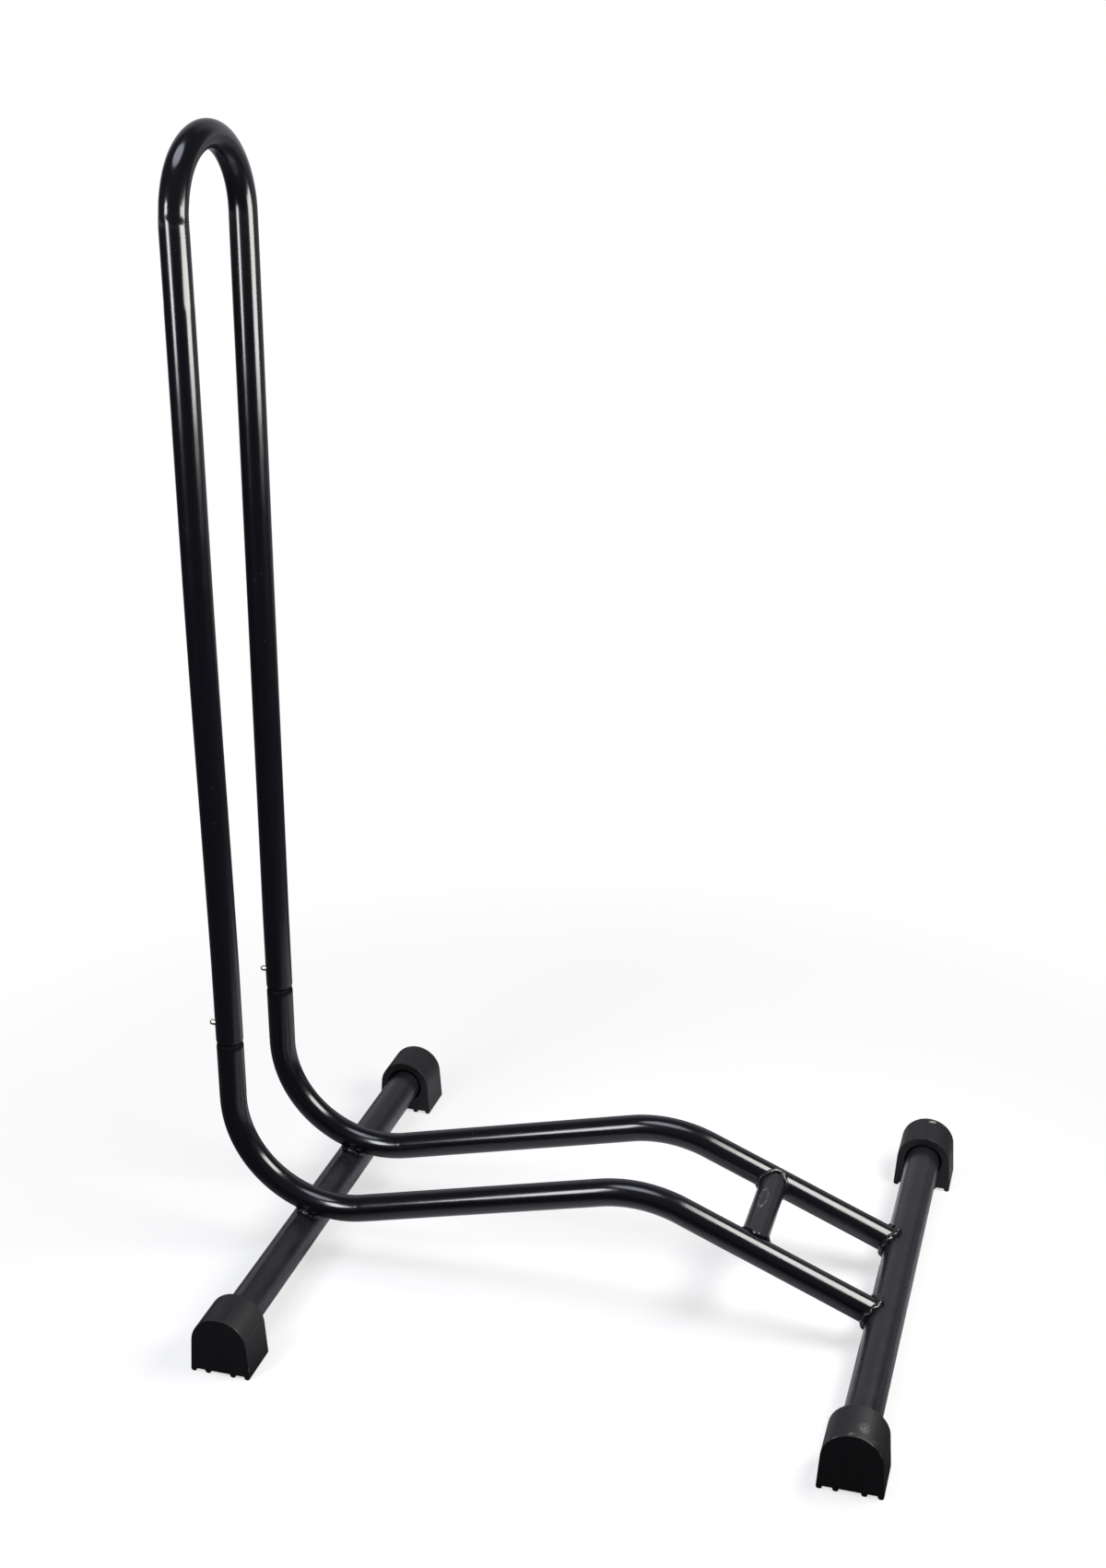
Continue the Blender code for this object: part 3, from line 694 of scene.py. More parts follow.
def spacer_mesh():
    """The short tube between the rails, its ends hollowed to sit on their sides.

    At angle t round the spacer, its end stands sqrt(R^2 - (r sin t)^2) from the rail's
    middle line, R being the rail's painted radius and a small gap under the bead.
    """
    t = once_round(TUBE_COLUMNS)
    seat = PAINTED_RADIUS + SPACER_END_GAP
    skins = []
    for radius in (PAINTED_RADIUS, BORE_RADIUS):
        reach = HALF_RAILS - np.sqrt(seat ** 2 - (radius * np.sin(t)) ** 2)
        y = np.linspace(-1, 1, 60)[:, None] * reach
        ring = radius * (np.cos(t)[:, None] * slope - np.sin(t)[:, None] * slope_up)
        skins.append(spacer_point + ring[None] + y[..., None] * Y)
    patches = Patches()
    patches.pipe(*skins)
    return patches.mesh("painted_spacer")


# Weld beads

def bead_rings(points, outward, radius, height, ripples, phase):
    """A bead round a closed line, rippled like a row of overlapping coins.

    At angle a round the bead its radius is r (1 + k |sin(n t / 2 + p + 0.9 cos a)|),
    where t runs round the line once, so that each ripple is a crescent.  Slower waves
    of t, and of t and a together, make it uneven and lumpy.
    """
    headings = unit(np.roll(points, -1, 0) - np.roll(points, 1, 0))
    first = unit(outward - headings * (headings * outward).sum(-1, keepdims=True))
    second = np.cross(headings, first)
    t = once_round(len(points))[:, None]
    a = once_round(20)[None, :]
    uneven = 1 + 0.06 * np.sin(3 * t + phase) + 0.04 * np.sin(7 * t - 2 * phase)
    uneven = uneven + 0.07 * np.sin(9 * t + 2 * a + phase)
    uneven = uneven + 0.04 * np.sin(14 * t - 3 * a + 2 * phase)
    ripple = np.abs(np.sin(ripples * t / 2 + phase + 0.9 * np.cos(a)))
    size = radius * uneven * (0.93 + height * ripple)
    way = np.cos(a)[..., None] * first[:, None, :] + np.sin(a)[..., None] * second[:, None, :]
    return points[:, None, :] + size[..., None] * way


def bead_mesh(name, rings):
    """A closed bead from its rings."""
    patches = Patches()
    patches.grid(rings, close_rows=True)
    return patches.mesh(name, 60.0)


def saddle_line(origin, branch, main, branch_radius, main_radius):
    """Where a branch tube meets the side of a main tube, and the way out from the branch.

    At angle t round the branch the line lies rho cos t along the main tube, rho sin t
    to its side and sqrt(reach^2 - (rho sin t)^2) out along the branch.
    """
    t = once_round(320)[:, None]
    rho = branch_radius + BEAD_LIFT / 2
    reach = main_radius + BEAD_LIFT
    radial = np.cos(t) * main + np.sin(t) * np.cross(main, branch)
    out = np.sqrt(reach ** 2 - (rho * np.sin(t)) ** 2)
    return origin + rho * radial + out * branch, radial


def seat_line(origin, normal):
    """An oval round the place where a rail rests on the rear tube.

    It lies half way between the rail's underside, which climbs to its sides by
    R - sqrt(R^2 - y^2), and the tube, which falls away by Rc - sqrt(Rc^2 - x^2).
    """
    t = once_round(280)[:, None]
    tangent = np.cross(Y, normal)
    x = REAR_BEAD_REACH * np.cos(t)
    y = REAR_BEAD_REACH * np.sin(t)
    fall = CROSS_RADIUS - np.sqrt(CROSS_RADIUS ** 2 - x ** 2)
    climb = TUBE_RADIUS - np.sqrt(TUBE_RADIUS ** 2 - y ** 2)
    middle = (CROSS_RADIUS + FIT_GAP / 2) * normal
    line = origin + middle + x * tangent + y * Y + (climb - fall) / 2 * normal
    return line, np.cos(t) * tangent + np.sin(t) * Y


def spatter_mesh():
    """Small round beads of weld metal, half sunk in the rear tube.

    Some lie beside each weld and some in two rows between the rails.  Each sits at
    angle a round the tube and y along it; its cap is a half sphere that is flattened
    outwards, r sin u round it and 0.6 r cos u high.
    """
    draw = np.random.default_rng(11)
    beside_rail = HALF_RAILS - 0.0105
    drops_each = 10
    places = []
    for side in (-1, 1):
        for _ in range(drops_each):
            y = side * (beside_rail - abs(draw.normal(0, 0.008)))
            places.append((draw.uniform(40, 118), y, draw.uniform(0.00022, 0.00062)))
    for row_angle, spread in ((37, 2.0), (93, 7.0)):
        for _ in range(drops_each):
            y = -0.0150 + draw.exponential(0.0085)
            places.append((draw.normal(row_angle, spread), y, draw.uniform(0.00035, 0.00075)))
    u = np.linspace(pi / 2, 0.25, 4)[:, None, None]
    v = once_round(10)[None, :, None]
    patches = Patches()
    for angle, y, size in places:
        normal = np.array([cos(radians(angle)), 0, sin(radians(angle))])
        tangent = np.cross(Y, normal)
        centre = rear_axis + (CROSS_RADIUS + COAT - 0.00005) * normal + y * Y
        cap = centre + size * np.sin(u) * (np.cos(v) * tangent + np.sin(v) * Y)
        cap = cap + 0.6 * size * np.cos(u) * normal
        patches.grid(cap)
        patches.fan(cap[-1], centre + 0.6 * size * normal)
        patches.fan(cap[0], centre - 0.2 * size * normal)
    return patches.mesh("weld_spatter", 60.0)


# The feet

def foot_outline():
    """The foot's end view in the X-Z plane, from left to right below and back over the top.

    Each rib is a flat crest between two quarter ovals.  Straight flared sides touch
    the round crown, whose centre is the tube's axis.
    """
    corner_rib = foot_half_width - RIB_WIDTH / 2
    bulge = (RIB_WIDTH - RIB_FLAT) / 2
    quarter = np.linspace(0, pi / 2, 7)
    height = RIB_HEIGHT * (1 - np.sin(quarter))
    middles = [-corner_rib, -INNER_RIB_OFFSET, INNER_RIB_OFFSET, corner_rib]
    xs = []
    zs = []
    for middle, next_middle in zip(middles, middles[1:] + [None]):
        left = middle - RIB_FLAT / 2 - bulge * np.cos(quarter)
        xs += [left, 2 * middle - left[::-1]]
        zs += [height, height[::-1]]
        if next_middle is not None:
            gap = np.linspace(middle + RIB_WIDTH / 2, next_middle - RIB_WIDTH / 2, 8)[1:-1]
            xs.append(gap)
            zs.append(np.full(len(gap), RIB_HEIGHT))
    drop = CROSS_TUBE_HEIGHT - RIB_HEIGHT
    reach = hypot(foot_half_width, drop)
    start = acos(crown_radius / reach) - atan2(drop, foot_half_width)
    crown = np.linspace(start, pi - start, 90)
    crown_x = crown_radius * np.cos(crown)
    crown_z = CROSS_TUBE_HEIGHT + crown_radius * np.sin(crown)
    rise = np.linspace(0, 1, 16)[1:-1]
    side_x = foot_half_width + rise * (crown_x[0] - foot_half_width)
    side_z = RIB_HEIGHT + rise * (crown_z[0] - RIB_HEIGHT)
    xs += [side_x, crown_x, -side_x[::-1]]
    zs += [side_z, crown_z, side_z[::-1]]
    return np.column_stack([np.concatenate(xs), np.concatenate(zs)])


def drawn_in(outline, depth):
    """An outline moved inwards by a depth, square to itself."""
    tangent = unit(np.roll(outline, -1, 0) - np.roll(outline, 1, 0))
    inward = np.column_stack([-tangent[:, 1], tangent[:, 0]])
    return outline + depth * inward


def foot_mesh(name, x, side):
    """A moulded foot as one closed grid, from the middle of its outer face round its
    rounded edges and along its ribs to the inner face, and down into the socket.

    Depth y runs from the outer face; on the rounded edges the outline is drawn in by
    e (1 - sin a) where y is e (1 - cos a).  On the flat faces each column runs from
    its rib or gap straight up to a line above the ribs, then towards the middle.
    """
    outline = foot_outline()
    centre = np.array([0.0, CROSS_TUBE_HEIGHT])
    rim = drawn_in(outline, FOOT_RIM_MARGIN)
    plain = drawn_in(outline, FOOT_FACE_MARGIN)
    below = outline[:, 1] < RIB_HEIGHT + 1e-6
    across = rim[below, 0]
    plain[below, 0] = across * (1 - 0.05 * (across / foot_half_width) ** 16)
    plain[below, 1] = RIB_HEIGHT + FOOT_FACE_MARGIN
    circle = unit(plain - centre)
    edges = [(drawn_in(outline, FOOT_EDGE_ROUND * (1 - sin(a))), FOOT_EDGE_ROUND * (1 - cos(a)))
             for a in ROUND_ANGLES]
    rows = []
    depths = []

    def add(flat, depth):
        rows.append(flat)
        depths.append(depth)

    middle = 0.0015
    disc = 0.0115
    for size in (middle, 0.006, disc):
        add(centre + size * circle, 0.0)
    add((centre + disc * circle + plain) / 2, 0.0)
    add(plain, 0.0)
    add(rim, 0.0)
    for flat, depth in edges:
        add(flat, depth)
    for depth in np.linspace(0.002, FOOT_LENGTH - 0.002, 9):
        add(outline, depth)
    for flat, depth in edges[::-1]:
        add(flat, FOOT_LENGTH - depth)
    add(rim, FOOT_LENGTH)
    mouth = SOCKET_RADIUS + SOCKET_LEAD_IN
    mouth_ring = centre + (mouth + SOCKET_EDGE_ROUND) * circle
    for share in (0.0, 0.5, 0.95):
        add((1 - share) * plain + share * mouth_ring, FOOT_LENGTH)
    for a in ROUND_ANGLES:
        size = mouth + SOCKET_EDGE_ROUND * (1 - sin(a))
        add(centre + size * circle, FOOT_LENGTH - SOCKET_EDGE_ROUND * (1 - cos(a)))
    add(centre + SOCKET_RADIUS * circle, FOOT_LENGTH - SOCKET_LEAD_DEPTH)
    add(centre + SOCKET_RADIUS * circle, FOOT_END_WALL + 0.0002)
    add(centre + (SOCKET_RADIUS - 0.0002) * circle, FOOT_END_WALL)
    add(centre + middle * circle, FOOT_END_WALL)

    section = np.stack(rows)
    y = side * (STAND_WIDTH / 2 - np.array(depths))
    points = np.empty(section.shape[:2] + (3,))
    points[..., 0] = x - side * section[..., 0]
    points[..., 1] = y[:, None]
    points[..., 2] = section[..., 1]
    patches = Patches()
    patches.grid(points)
    patches.fan(points[0], np.array([x, y[0], CROSS_TUBE_HEIGHT]))
    patches.fan(points[-1], np.array([x, y[-1], CROSS_TUBE_HEIGHT]))
    return patches.mesh(name, 50.0)


# Buttons and springs

def button_mesh(name, place):
    """A pin turned about X: domed head, stem and peened tail.

    Its profile goes from the tail's back to the dome, which is a quarter circle,
    r sin a ahead and r cos a out.
    """
    dome_start = TUBE_RADIUS + BUTTON_PROUD - BUTTON_RADIUS
    tail_front = leaf_inner - FIT_GAP
    seat = leaf_outer + FIT_GAP
    tail_back = tail_front - BUTTON_TAIL
    dome = np.linspace(0, pi / 2, 12)[1:-1]
    tail = [(tail_back, STEM_RADIUS), (tail_back, TAIL_RADIUS - PIN_EDGE),
            (tail_back + PIN_EDGE, TAIL_RADIUS), (tail_front - PIN_EDGE / 2, TAIL_RADIUS),
            (tail_front, TAIL_RADIUS - PIN_EDGE / 2), (tail_front, STEM_RADIUS)]
    head = [(seat, STEM_RADIUS), (seat, BUTTON_RADIUS - PIN_EDGE),
            (seat + PIN_EDGE, BUTTON_RADIUS)]
    shank = [(d, BUTTON_RADIUS) for d in np.linspace(seat + 0.001, dome_start, 6)]
    top = [(dome_start + BUTTON_RADIUS * sin(a), BUTTON_RADIUS * cos(a)) for a in dome]
    profile = np.array(tail + head + shank + top)
    t = once_round(48)[:, None]
    radial = np.cos(t) * Y + np.sin(t) * Z
    points = place - profile[:, 0][:, None, None] * X + profile[:, 1][:, None, None] * radial
    patches = Patches()
    patches.grid(points)
    patches.fan(points[0], place - profile[0, 0] * X)
    patches.fan(points[-1], place - (dome_start + BUTTON_RADIUS) * X)
    return patches.mesh(name, 45.0)


def spring_mesh(name, place):
    """A leaf of spring steel folded into a V, with rounded edges.

    Round its section the leaf is a flat strip whose edges are half circles.
    """
    half = SPRING_THICKNESS / 2
    stand = leaf_outer - half
    fold = SPRING_FOLD_RADIUS + SPRING_FOLD_FLAT / 2
    kink = -SPRING_STRAIGHT
    base = kink - SPRING_TAIL
    outline = [(-stand, SPRING_ABOVE_BUTTON), (-stand, kink), (-fold, base), (fold, base),
               (stand, kink), (stand, SPRING_ABOVE_BUTTON)]
    corners = [place + x * X + z * Z for x, z in outline]
    line = bent(corners, [SPRING_KINK_RADIUS, SPRING_FOLD_RADIUS, SPRING_FOLD_RADIUS,
                          SPRING_KINK_RADIUS])
    points, headings = along(line, np.linspace(0, lengths_to(line)[-1], 130))
    normal = np.cross(headings, Y)
    a = np.linspace(-pi / 2, pi / 2, 6)
    edge = SPRING_WIDTH / 2 - half + half * np.cos(a)
    u = np.concatenate([edge, -edge])
    v = np.concatenate([half * np.sin(a), -half * np.sin(a)])
    rings = points[:, None, :] + u[None, :, None] * Y + v[None, :, None] * normal[:, None, :]
    patches = Patches()
    patches.grid(rings)
    patches.fan(rings[0], rings[0].mean(0))
    patches.fan(rings[-1], rings[-1].mean(0))
    return patches.mesh(name, 50.0)


# Finishes

WHITE = (1, 1, 1, 1)
GLOSS_BLACK = (0.0036, 0.0033, 0.0052, 1)
SATIN_BLACK = (0.0074, 0.0068, 0.0086, 1)
SATIN_BLACK_WORN = (0.0098, 0.0091, 0.0112, 1)
WELD_BLACK = (0.0040, 0.0037, 0.0048, 1)
WELD_BLACK_WORN = (0.0080, 0.0074, 0.0086, 1)
FOOT_BLACK = (0.0042, 0.0038, 0.0050, 1)
FOOT_BLACK_WORN = (0.0058, 0.0053, 0.0067, 1)
DUST_GREY = (0.16, 0.15, 0.145, 1)
FLECK_GREY = (0.14, 0.13, 0.125, 1)
SCUFF_GREY = (0.34, 0.32, 0.31, 1)
CHIP_GREY = (0.27, 0.27, 0.22, 1)
NICKEL = (0.90, 0.86, 0.77, 1)
NICKEL_WORN = (0.84, 0.78, 0.66, 1)
SPRING_GREY = (0.40, 0.40, 0.42, 1)
SPRING_STRAW = (0.46, 0.43, 0.39, 1)


class Recipe:
    """The nodes of a finish or of the world, put together step by step."""

    def __init__(self, owner):
        owner.use_nodes = True
        self.nodes = owner.node_tree.nodes
        self.links = owner.node_tree.links
        self.nodes.clear()

    def step(self, kind, inputs=None, **settings):
        """Adds a node; each input is a value or the output of an earlier node."""
        node = self.nodes.new("ShaderNode" + kind)
        for name, value in settings.items():
            setattr(node, name, value)
        for key, value in (inputs or {}).items():
            if isinstance(value, bpy.types.NodeSocket):
                self.links.new(value, node.inputs[key])
            else:
                node.inputs[key].default_value = value
        return node


def around(recipe, centre=(0, 0, 0), turn=(0, 0, 0), measure=(1, 1, 1)):
    """The place on the piece from a centre, turned, with a measure for each direction."""
    place = recipe.step("TexCoord").outputs["Object"]
    return recipe.step("Mapping", {"Vector": place, "Location": tuple(centre), "Rotation": turn,
                                   "Scale": measure}, vector_type="TEXTURE").outputs[0]


def ramp(recipe, value, start, end, low=0.0, high=1.0):
    """Goes from low, where the value is start, to high, where it is end."""
    return recipe.step("MapRange", {"Value": value, "From Min": start, "From Max": end,
                                    "To Min": low, "To Max": high}).outputs["Result"]


def noise(recipe, place, scale, detail=1.0):
    """Cloudy noise between 0 and 1, with about as many clouds to the metre as scale."""
    return recipe.step("TexNoise", {"Vector": place, "Scale": scale, "Detail": detail}).outputs[0]


def blotches(recipe, place, size, low, high, detail=2.0):
    """Cloudy blotches about one size across, spread between two values."""
    return ramp(recipe, noise(recipe, place, 1 / size, detail), 0.33, 0.67, low, high)


def product(recipe, first, second, clamped=False):
    """The first value times the second, kept between 0 and 1 where it is clamped."""
    return recipe.step("Math", {0: first, 1: second}, operation="MULTIPLY",
                       use_clamp=clamped).outputs[0]


def larger(recipe, first, second):
    """The larger of two values."""
    return recipe.step("Math", {0: first, 1: second}, operation="MAXIMUM").outputs[0]


def apart(recipe, value, middle):
    """How far a value is from a middle, on either side of it."""
    off = recipe.step("Math", {0: value, 1: middle}, operation="SUBTRACT").outputs[0]
    return recipe.step("Math", {0: off}, operation="ABSOLUTE").outputs[0]


def coordinate(recipe, place, axis):
    """One of the three coordinates of a place."""
    return recipe.step("SeparateXYZ", {0: place}).outputs[axis]


def from_centre(recipe, place):
    """How far a place is from the centre that it is measured from."""
    return recipe.step("VectorMath", {0: place}, operation="LENGTH").outputs["Value"]


def specks(recipe, place, spacing, radius, share):
    """1 on specks of one radius, which sit in a share of the cells of this spacing."""
    cells = recipe.step("TexVoronoi", {"Vector": place, "Scale": 1 / spacing}).outputs
    lot = coordinate(recipe, cells["Color"], 0)
    chosen = recipe.step("Math", {0: lot, 1: share}, operation="LESS_THAN").outputs[0]
    spot = ramp(recipe, cells["Distance"], radius / spacing, 0.5 * radius / spacing)
    return product(recipe, chosen, spot)


def patch(recipe, centre, measure, turn=(0, 0, 0)):
    """1 in the middle of an oval place on the piece and 0 from its rim outwards."""
    return ramp(recipe, from_centre(recipe, around(recipe, centre, turn, measure)), 1.0, 0.3)


def blended(recipe, share, first, second):
    """The first colour where share is 0 and the second where it is 1."""
    return recipe.step("Mix", {0: share, 6: first, 7: second}, data_type="RGBA").outputs[2]


def raised(recipe, height, rise, under=None):
    """Normals of a skin that stands up by rise, in metres, where height is 1."""
    inputs = {"Height": height, "Distance": rise}
    if under is not None:
        inputs["Normal"] = under
    return recipe.step("Bump", inputs).outputs[0]


def surfaced(name, recipe_steps):
    """A finish whose Principled sockets come from a function of the recipe."""
    finish = bpy.data.materials.new(name)
    recipe = Recipe(finish)
    shader = recipe.step("BsdfPrincipled", recipe_steps(recipe))
    recipe.step("OutputMaterial", {"Surface": shader.outputs[0]})
    return finish


def gloss_powder_coat(recipe):
    """Glossy black powder coat: fine grain, faint orange peel, hairlines and a little dust.

    Where leg and rail meet, a narrow ring is rougher and its reflection is nearly cut off, which
    paints shade into the groove.
    """
    place = around(recipe)
    up_hairs = specks(recipe, around(recipe, measure=(1, 1, 26)), 0.0045, 0.00011, 0.10)
    along_hairs = specks(recipe, around(recipe, measure=(26, 1, 1)), 0.0045, 0.00011, 0.10)
    hairs = product(recipe, larger(recipe, up_hairs, along_hairs), 0.45)
    dust = specks(recipe, place, spacing=0.0050, radius=0.00026, share=0.35)
    marked = larger(recipe, hairs, dust)
    worn = blotches(recipe, place, size=0.030, low=0.16, high=0.20)
    from_joint = apart(recipe, coordinate(recipe, place, "Z"), NECK_HEIGHT - 0.0014)
    rough_shaded_groove = ramp(recipe, from_joint, 0.0038, 0.0020)
    rough = larger(recipe, product(recipe, rough_shaded_groove, 0.55), product(recipe, marked, 0.45))
    orange_peel = raised(recipe, noise(recipe, place, 230), 0.000003)
    return {"Base Color": blended(recipe, marked, GLOSS_BLACK, DUST_GREY),
            "Roughness": larger(recipe, worn, rough),
            # Painted shade: in the groove ring the reflection is nearly cut off
            "Specular IOR Level": ramp(recipe, rough_shaded_groove, 0.0, 1.0, 0.5, 0.06),
            "Normal": raised(recipe, noise(recipe, place, 1700), 0.0000005, orange_peel)}


def satin_powder_coat(recipe):
    """Satin black powder coat: dull fine grain, light flecks, and a rubbed curl on the spacer."""
    place = around(recipe)
    flecks = specks(recipe, place, spacing=0.0060, radius=0.00036, share=0.22)
    curl_centre = spacer_point + 0.0045 * Y - 0.0012 * X + PAINTED_RADIUS * Z
    curl_place = around(recipe, curl_centre, measure=(0.0030, 0.0115, 0.0040))
    from_rim = apart(recipe, from_centre(recipe, curl_place), 1.0)
    broken = blotches(recipe, place, size=0.0020, low=-0.4, high=1.3)
    curl = product(recipe, ramp(recipe, from_rim, 0.20, 0.06), broken)
    marked = larger(recipe, flecks, product(recipe, curl, 0.6, clamped=True))
    cloudy = blotches(recipe, place, size=0.022, low=0.0, high=1.0, detail=3.0)
    tone = blended(recipe, cloudy, SATIN_BLACK, SATIN_BLACK_WORN)
    return {"Base Color": blended(recipe, marked, tone, FLECK_GREY),
            "Roughness": blotches(recipe, place, size=0.017, low=0.25, high=0.30),
            "Normal": raised(recipe, noise(recipe, place, 1500, 2.0), 0.000006)}


def weld_paint(recipe):
    """Gloss black over a weld bead: pits and small drops under a thick coat."""
    place = around(recipe)
    cloudy = blotches(recipe, place, size=0.0025, low=0.0, high=1.0)
    return {"Base Color": blended(recipe, cloudy, WELD_BLACK, WELD_BLACK_WORN),
            "Roughness": blotches(recipe, place, size=0.0018, low=0.14, high=0.30),
            "Normal": raised(recipe, noise(recipe, place, 480), 0.00015)}


def crown_place(axis_x, angle, y):
    """A point on a foot's round top, at an angle from upright towards +X."""
    return (axis_x + crown_radius * sin(angle), y, CROSS_TUBE_HEIGHT + crown_radius * cos(angle))


def foot_moulding(recipe):
    """Matt black moulding: draw lines along Y, pale scuffs on two feet, rubbed end edges."""
    place = around(recipe)
    lines = noise(recipe, around(recipe, measure=(1, 30, 1)), 900, 2.0)
    broken = blotches(recipe, place, size=0.0013, low=-0.8, high=1.4, detail=3.0)
    scuff = patch(recipe, crown_place(front_x, radians(16), -0.1890), (0.0044, 0.0062, 0.0034))
    small_scuff = patch(recipe, crown_place(front_x, radians(-4), -0.1975),
                        (0.0024, 0.0022, 0.0020))
    scuffs = product(recipe, larger(recipe, scuff, small_scuff), broken)
    scratch = patch(recipe, crown_place(front_x, radians(40), -0.1957),
                    (0.0036, 0.00034, 0.0009), (0, radians(38.8), radians(15.4)))
    chip = patch(recipe, crown_place(front_x, radians(9), 0.1958),
                 (0.0038, 0.0021, 0.0016), (0, 0, radians(20)))
    outwards = apart(recipe, coordinate(recipe, place, "Y"), 0.0)
    end_edge = product(recipe, ramp(recipe, outwards, 0.1988, 0.1994),
                       ramp(recipe, outwards, 0.19996, 0.1997))
    rubbed = product(recipe, end_edge, blotches(recipe, place, size=0.0060, low=-1.6, high=1.2))
    pale = larger(recipe, scuffs, larger(recipe, product(recipe, scratch, 0.9), rubbed))
    cloudy = blotches(recipe, place, size=0.012, low=0.0, high=1.0, detail=3.0)
    tone = blended(recipe, cloudy, FOOT_BLACK, FOOT_BLACK_WORN)
    scuffed = blended(recipe, product(recipe, pale, 0.34, clamped=True), tone, SCUFF_GREY)
    fine = raised(recipe, noise(recipe, place, 1300, 3.0), 0.000014)
    return {"Base Color": blended(recipe, chip, scuffed, CHIP_GREY),
            "Roughness": ramp(recipe, lines, 0.35, 0.65, 0.46, 0.58),
            "Specular IOR Level": 0.4,
            "Normal": raised(recipe, lines, 0.00001, fine)}


def bright_nickel(recipe):
    """Bright nickel plate with faint polishing marks."""
    place = around(recipe, measure=(6, 1, 1))
    worn = blotches(recipe, place, size=0.0016, low=0.0, high=1.0)
    return {"Base Color": blended(recipe, worn, NICKEL, NICKEL_WORN),
            "Metallic": 1.0,
            "Roughness": blotches(recipe, place, size=0.0008, low=0.24, high=0.36)}


def spring_strip(recipe):
    """Rolled spring steel with lines along the strip and a heat tint in blotches."""
    along_strip = around(recipe, measure=(1, 1, 25))
    tint = blotches(recipe, around(recipe), size=0.007, low=0.0, high=1.0)
    return {"Base Color": blended(recipe, tint, SPRING_GREY, SPRING_STRAW),
            "Metallic": 1.0,
            "Roughness": blotches(recipe, along_strip, size=0.0005, low=0.26, high=0.42)}


gloss_black = surfaced("gloss_black_powder_coat", gloss_powder_coat)
satin_black = surfaced("satin_black_powder_coat", satin_powder_coat)
weld_black = surfaced("painted_weld_metal", weld_paint)
foot_black = surfaced("moulded_foot_black", foot_moulding)
nickel = surfaced("bright_nickel_plate", bright_nickel)
spring_steel = surfaced("spring_steel_strip", spring_strip)


# The pieces

def weld_lines(side):
    """Each weld bead's middle line and the way out from the piece that it joins on."""
    beside = side * HALF_RAILS * Y
    seat_normal = unit(lower_bend_centre() - rear_axis)
    return {"spacer": saddle_line(spacer_point + beside, -side * Y, slope,
                                  PAINTED_RADIUS, PAINTED_RADIUS),
            "front": saddle_line(front_axis + beside, -slope, Y,
                                 PAINTED_RADIUS, CROSS_RADIUS + COAT),
            "rear": seat_line(rear_axis + beside, seat_normal)}


# Of each bead: its radius, the height of its ripples, how many they are, where they begin
BEADS = {"spacer": (0.0020, 0.11, 11, 1),
         "front": (0.0027, 0.16, 11, 2),
         "rear": (0.0026, 0.10, 20, 3)}

add_piece(hoop_mesh(), "hoop", gloss_black, "upright_hoop")

for side_name, side in SIDES.items():
    add_piece(rail_mesh(side_name + "_painted_rail", side), "frame",
              gloss_black, side_name + "_rail")

for end, axis, phase in (("rear", rear_axis, 0.4), ("front", front_axis, 2.1)):
    add_piece(cross_tube_mesh(end + "_painted_tube", axis, phase), "frame",
              satin_black, end + "_cross_tube")
    for side_name, side in SIDES.items():
        corner = end + "_" + side_name
        add_piece(foot_mesh(corner + "_moulded_foot", axis[0], side), "frame",
                  foot_black, corner + "_foot")

add_piece(spacer_mesh(), "frame", satin_black, "rail_spacer")

for side_name, side in SIDES.items():
    for joint, (line, outward) in weld_lines(side).items():
        radius, height, ripples, phase = BEADS[joint]
        rings = bead_rings(line, outward, radius, height, ripples, phase * side)
        add_piece(bead_mesh(side_name + "_" + joint + "_bead", rings), "frame",
                  weld_black, side_name + "_" + joint + "_weld")

add_piece(spatter_mesh(), "frame", weld_black)

for side_name, side in SIDES.items():
    place = np.array([stub_x, side * HALF_RAILS, button_z])
    add_piece(button_mesh(side_name + "_button_pin", place), side_name + "_button",
              nickel, side_name + "_snap_button")
    spring = add_piece(spring_mesh(side_name + "_leaf_spring", place), None,
                       spring_steel, side_name + "_button_spring")
    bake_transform(spring)


# Floor, background, lamps and camera

FLOOR_GREY = (0.80, 0.80, 0.80, 1)
FLOOR_GREY_FOR_LIGHT = (0.35, 0.35, 0.35, 1)
# Painted reflection on a sheet that only reflections show: a pale pool of light under the stand,
# shade round it and a glow far behind
REFLECTED_LIGHT_POOL_GREY = (0.60, 0.60, 0.64, 1)
REFLECTED_SHADE_DARK = (0.040, 0.040, 0.047, 1)
REFLECTED_DIM_BEHIND = (0.12, 0.12, 0.14, 1)
REFLECTED_GLOW_BEHIND = (0.33, 0.325, 0.35, 1)
ROOM_COLOUR = (0.93, 0.91, 1.0, 1)
ROOM_STRENGTH = 0.08


def seen_white(recipe):
    """1 for a ray that shows the background, straight on, mirrored or through glass."""
    path = recipe.step("LightPath").outputs
    direct = recipe.step("Math", {0: path["Is Camera Ray"], 1: path["Is Glossy Ray"]},
                         operation="ADD", use_clamp=True)
    return recipe.step("Math", {0: direct.outputs[0], 1: path["Is Transmission Ray"]},
                       operation="ADD", use_clamp=True).outputs[0]


